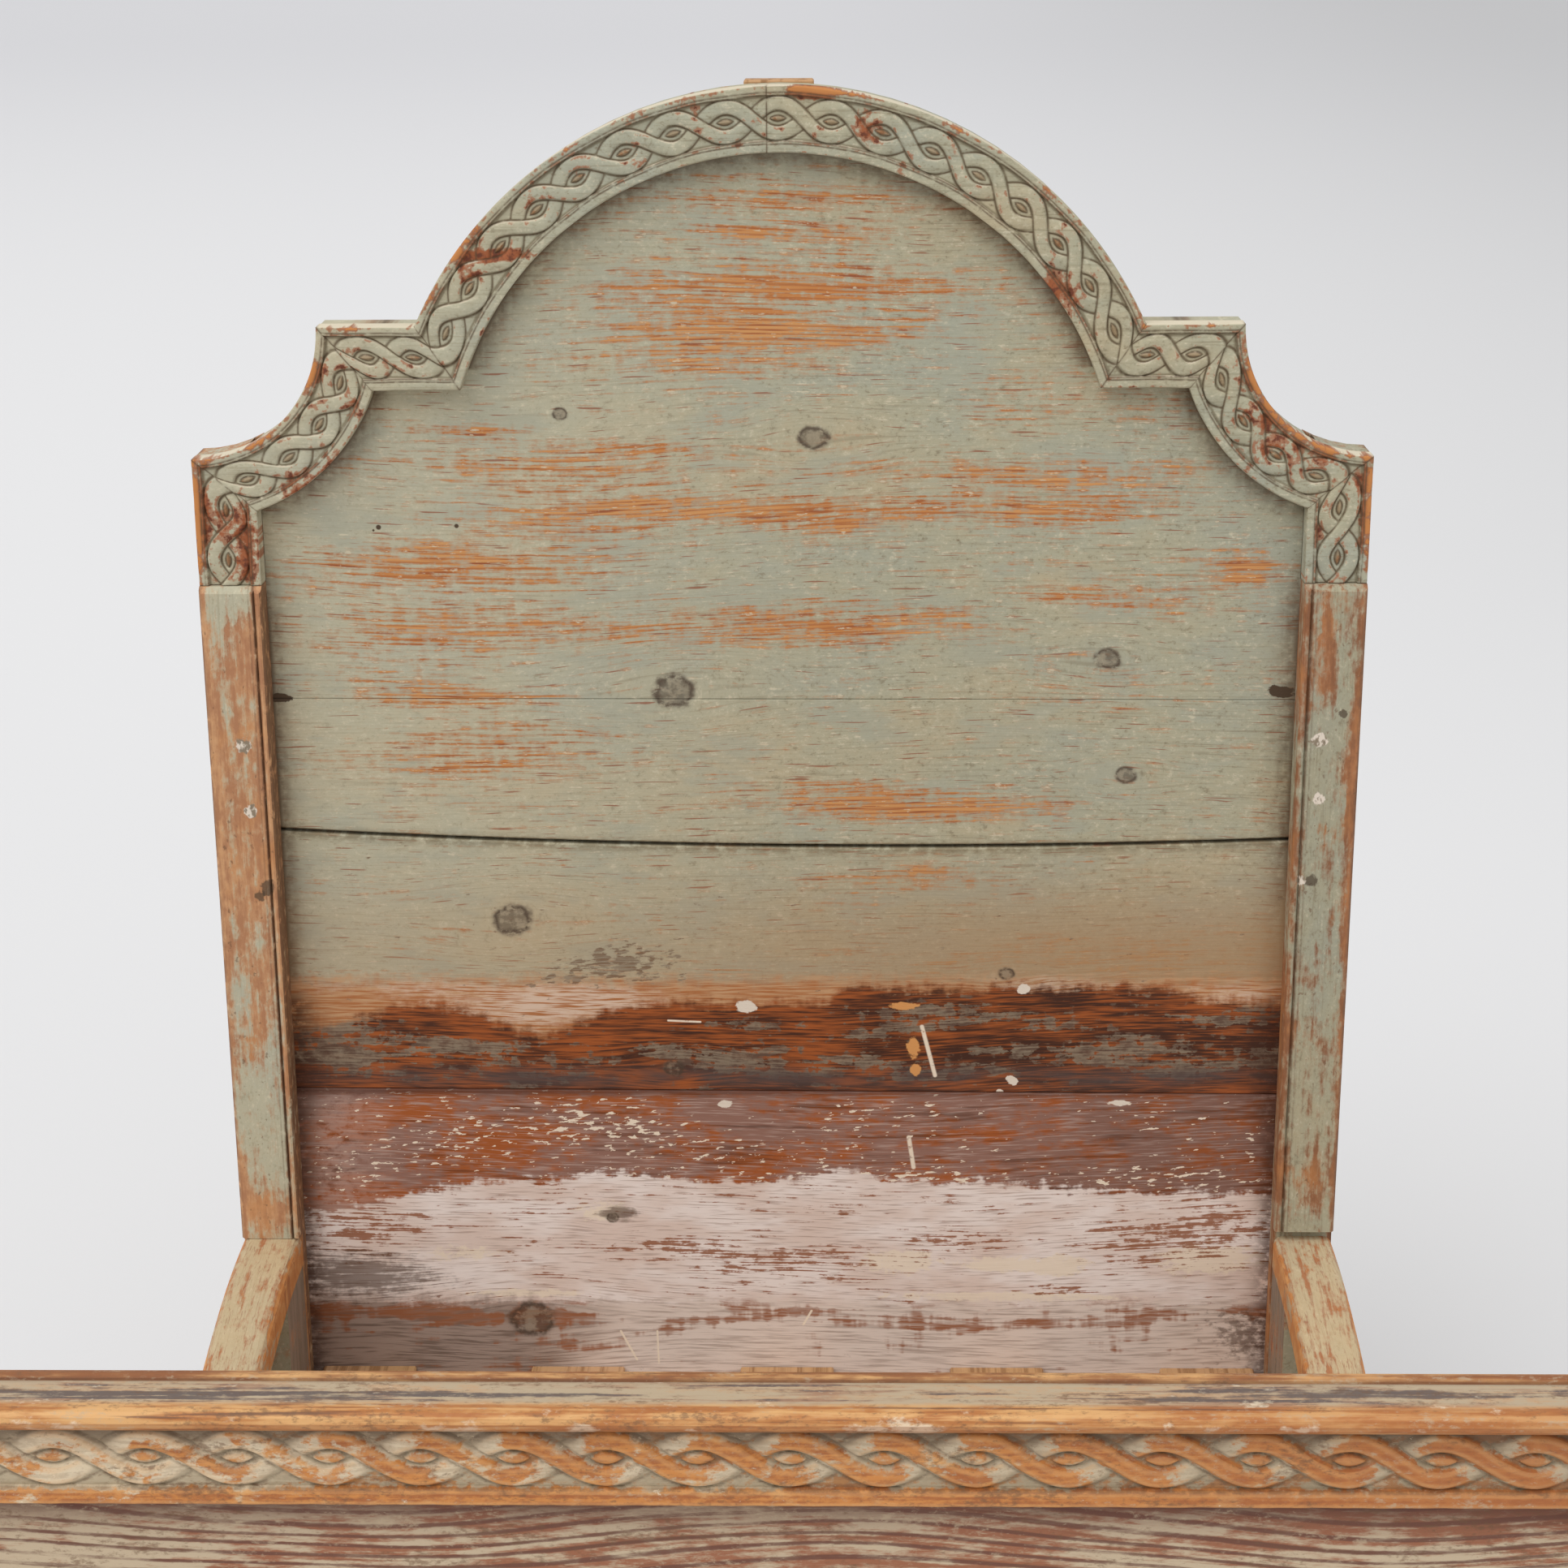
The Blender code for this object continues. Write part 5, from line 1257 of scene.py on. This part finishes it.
def dress_frame():
    dress(["crest_board", "middle_board"], board_paint("upper_boards", UPPER_BOARDS, rubbed_sage))
    dress(["lower_board"], board_paint("lower_board", LOWER_BOARD, stained_sage))
    dress(["bottom_board"], board_paint("bottom_board", BOTTOM_BOARD, chalked_film))
    carve_headboard(carved_paint())
    left_post = post_paint(
        "left_post_paint", LEFT_POST_BASE, LEFT_POST_WEAR, LEFT_POST_PLASTER, PINE_TAN, POST_BROWN)
    right_post = post_paint(
        "right_post_paint", RIGHT_POST_BASE, RIGHT_POST_WEAR, RIGHT_POST_PLASTER, POST_RUST, POST_DARK)
    dress(["left_head_post", "left_post_facing"], left_post)
    dress(["right_head_post", "right_post_facing"], right_post)
    dress(both("arm"), arm_paint())
    dress(both("side_board"), side_paint("side_paint", False))
    dress(both("side_stile") + both("front_leg"), side_paint("leg_paint", True))
    dress(["foot_cap_rail"], cap_wood())
    carve_frieze(frieze_wood())
    dress(["foot_upper_board", "foot_lower_board", "foot_bottom_rail"], foot_panel("foot_panel", False))
    dress(both("foot_post"), foot_panel("foot_post_paint", True))
    along_bed = both("runner") + both("slide_rail")
    along_bed += [f"head_slat_{i}" for i in range(1, 6)] + [f"foot_slat_{i}" for i in range(1, 5)]
    dress(along_bed, bare_pine("pine_along_bed", "y"))
    across_bed = ["head_bottom_rail", "head_ledger", "foot_ledger", "head_cross_rail", "foot_tie_bar"]
    dress(across_bed, bare_pine("pine_across_bed", "x"))
    dress(["back_batten"], bare_pine("pine_upright", "z"))


# Stage, light and camera

def floor_paint():
    """Pale floor with painted shade that greys it slowly with distance and to the right."""
    p = Paint("floor_pale")
    colour = p.layers(
        FLOOR_NEAR,
        # painted shade: greyer far off and to the right
        (p.y.step(4.0, 26.0), FLOOR_FAR),
        (p.x.step(-1.5, 7.0) * p.y.step(0.0, 6.0) * 0.75, FLOOR_RIGHT))
    grain = p.noise(p.x * 90, p.y * 90, 1.0, detail=2)
    return p.finish(colour, grain, roughness=0.9, bump_depth=0.0002)


def build_stage():
    mesh = bpy.data.meshes.new("floor")
    corners = [(-1, -1), (1, -1), (1, 1), (-1, 1)]
    mesh.from_pydata([(x * FLOOR_REACH, y * FLOOR_REACH, 0.0) for x, y in corners], [], [(0, 1, 2, 3)])
    mesh.materials.append(floor_paint())
    add_object("floor", mesh)


def add_sun(name, strength, angle, tilt):
    light = bpy.data.lights.new(name, "SUN")
    light.energy = strength
    light.angle = angle
    add_object(name, light).rotation_euler = tilt


def build_light():
    world = bpy.data.worlds.new("sky")
    world.use_nodes = True
    background = world.node_tree.nodes["Background"]
    background.inputs["Color"].default_value = (1.0, 1.0, 1.0, 1.0)
    background.inputs["Strength"].default_value = SKY_STRENGTH
    bpy.context.scene.world = world
    add_sun("key_light", KEY_STRENGTH, KEY_ANGLE, KEY_TILT)
    add_sun("fill_light", FILL_STRENGTH, FILL_ANGLE, FILL_TILT)


def build_camera():
    camera = add_object("camera", bpy.data.cameras.new("camera"))
    camera.data.sensor_width = SENSOR_WIDTH
    camera.data.lens = FOCAL_PIXELS / PHOTO_SIZE * SENSOR_WIDTH
    turn = Matrix.Rotation(-CAMERA_YAW, 4, "Z")
    tilt = Matrix.Rotation(math.pi / 2 - CAMERA_PITCH, 4, "X")
    roll = Matrix.Rotation(CAMERA_ROLL, 4, "Z")
    camera.matrix_world = Matrix.Translation(CAMERA_PLACE) @ turn @ tilt @ roll
    bpy.context.scene.camera = camera


dress_frame()
build_stage()
build_light()
build_camera()
bpy.context.scene.view_settings.view_transform = "Standard"
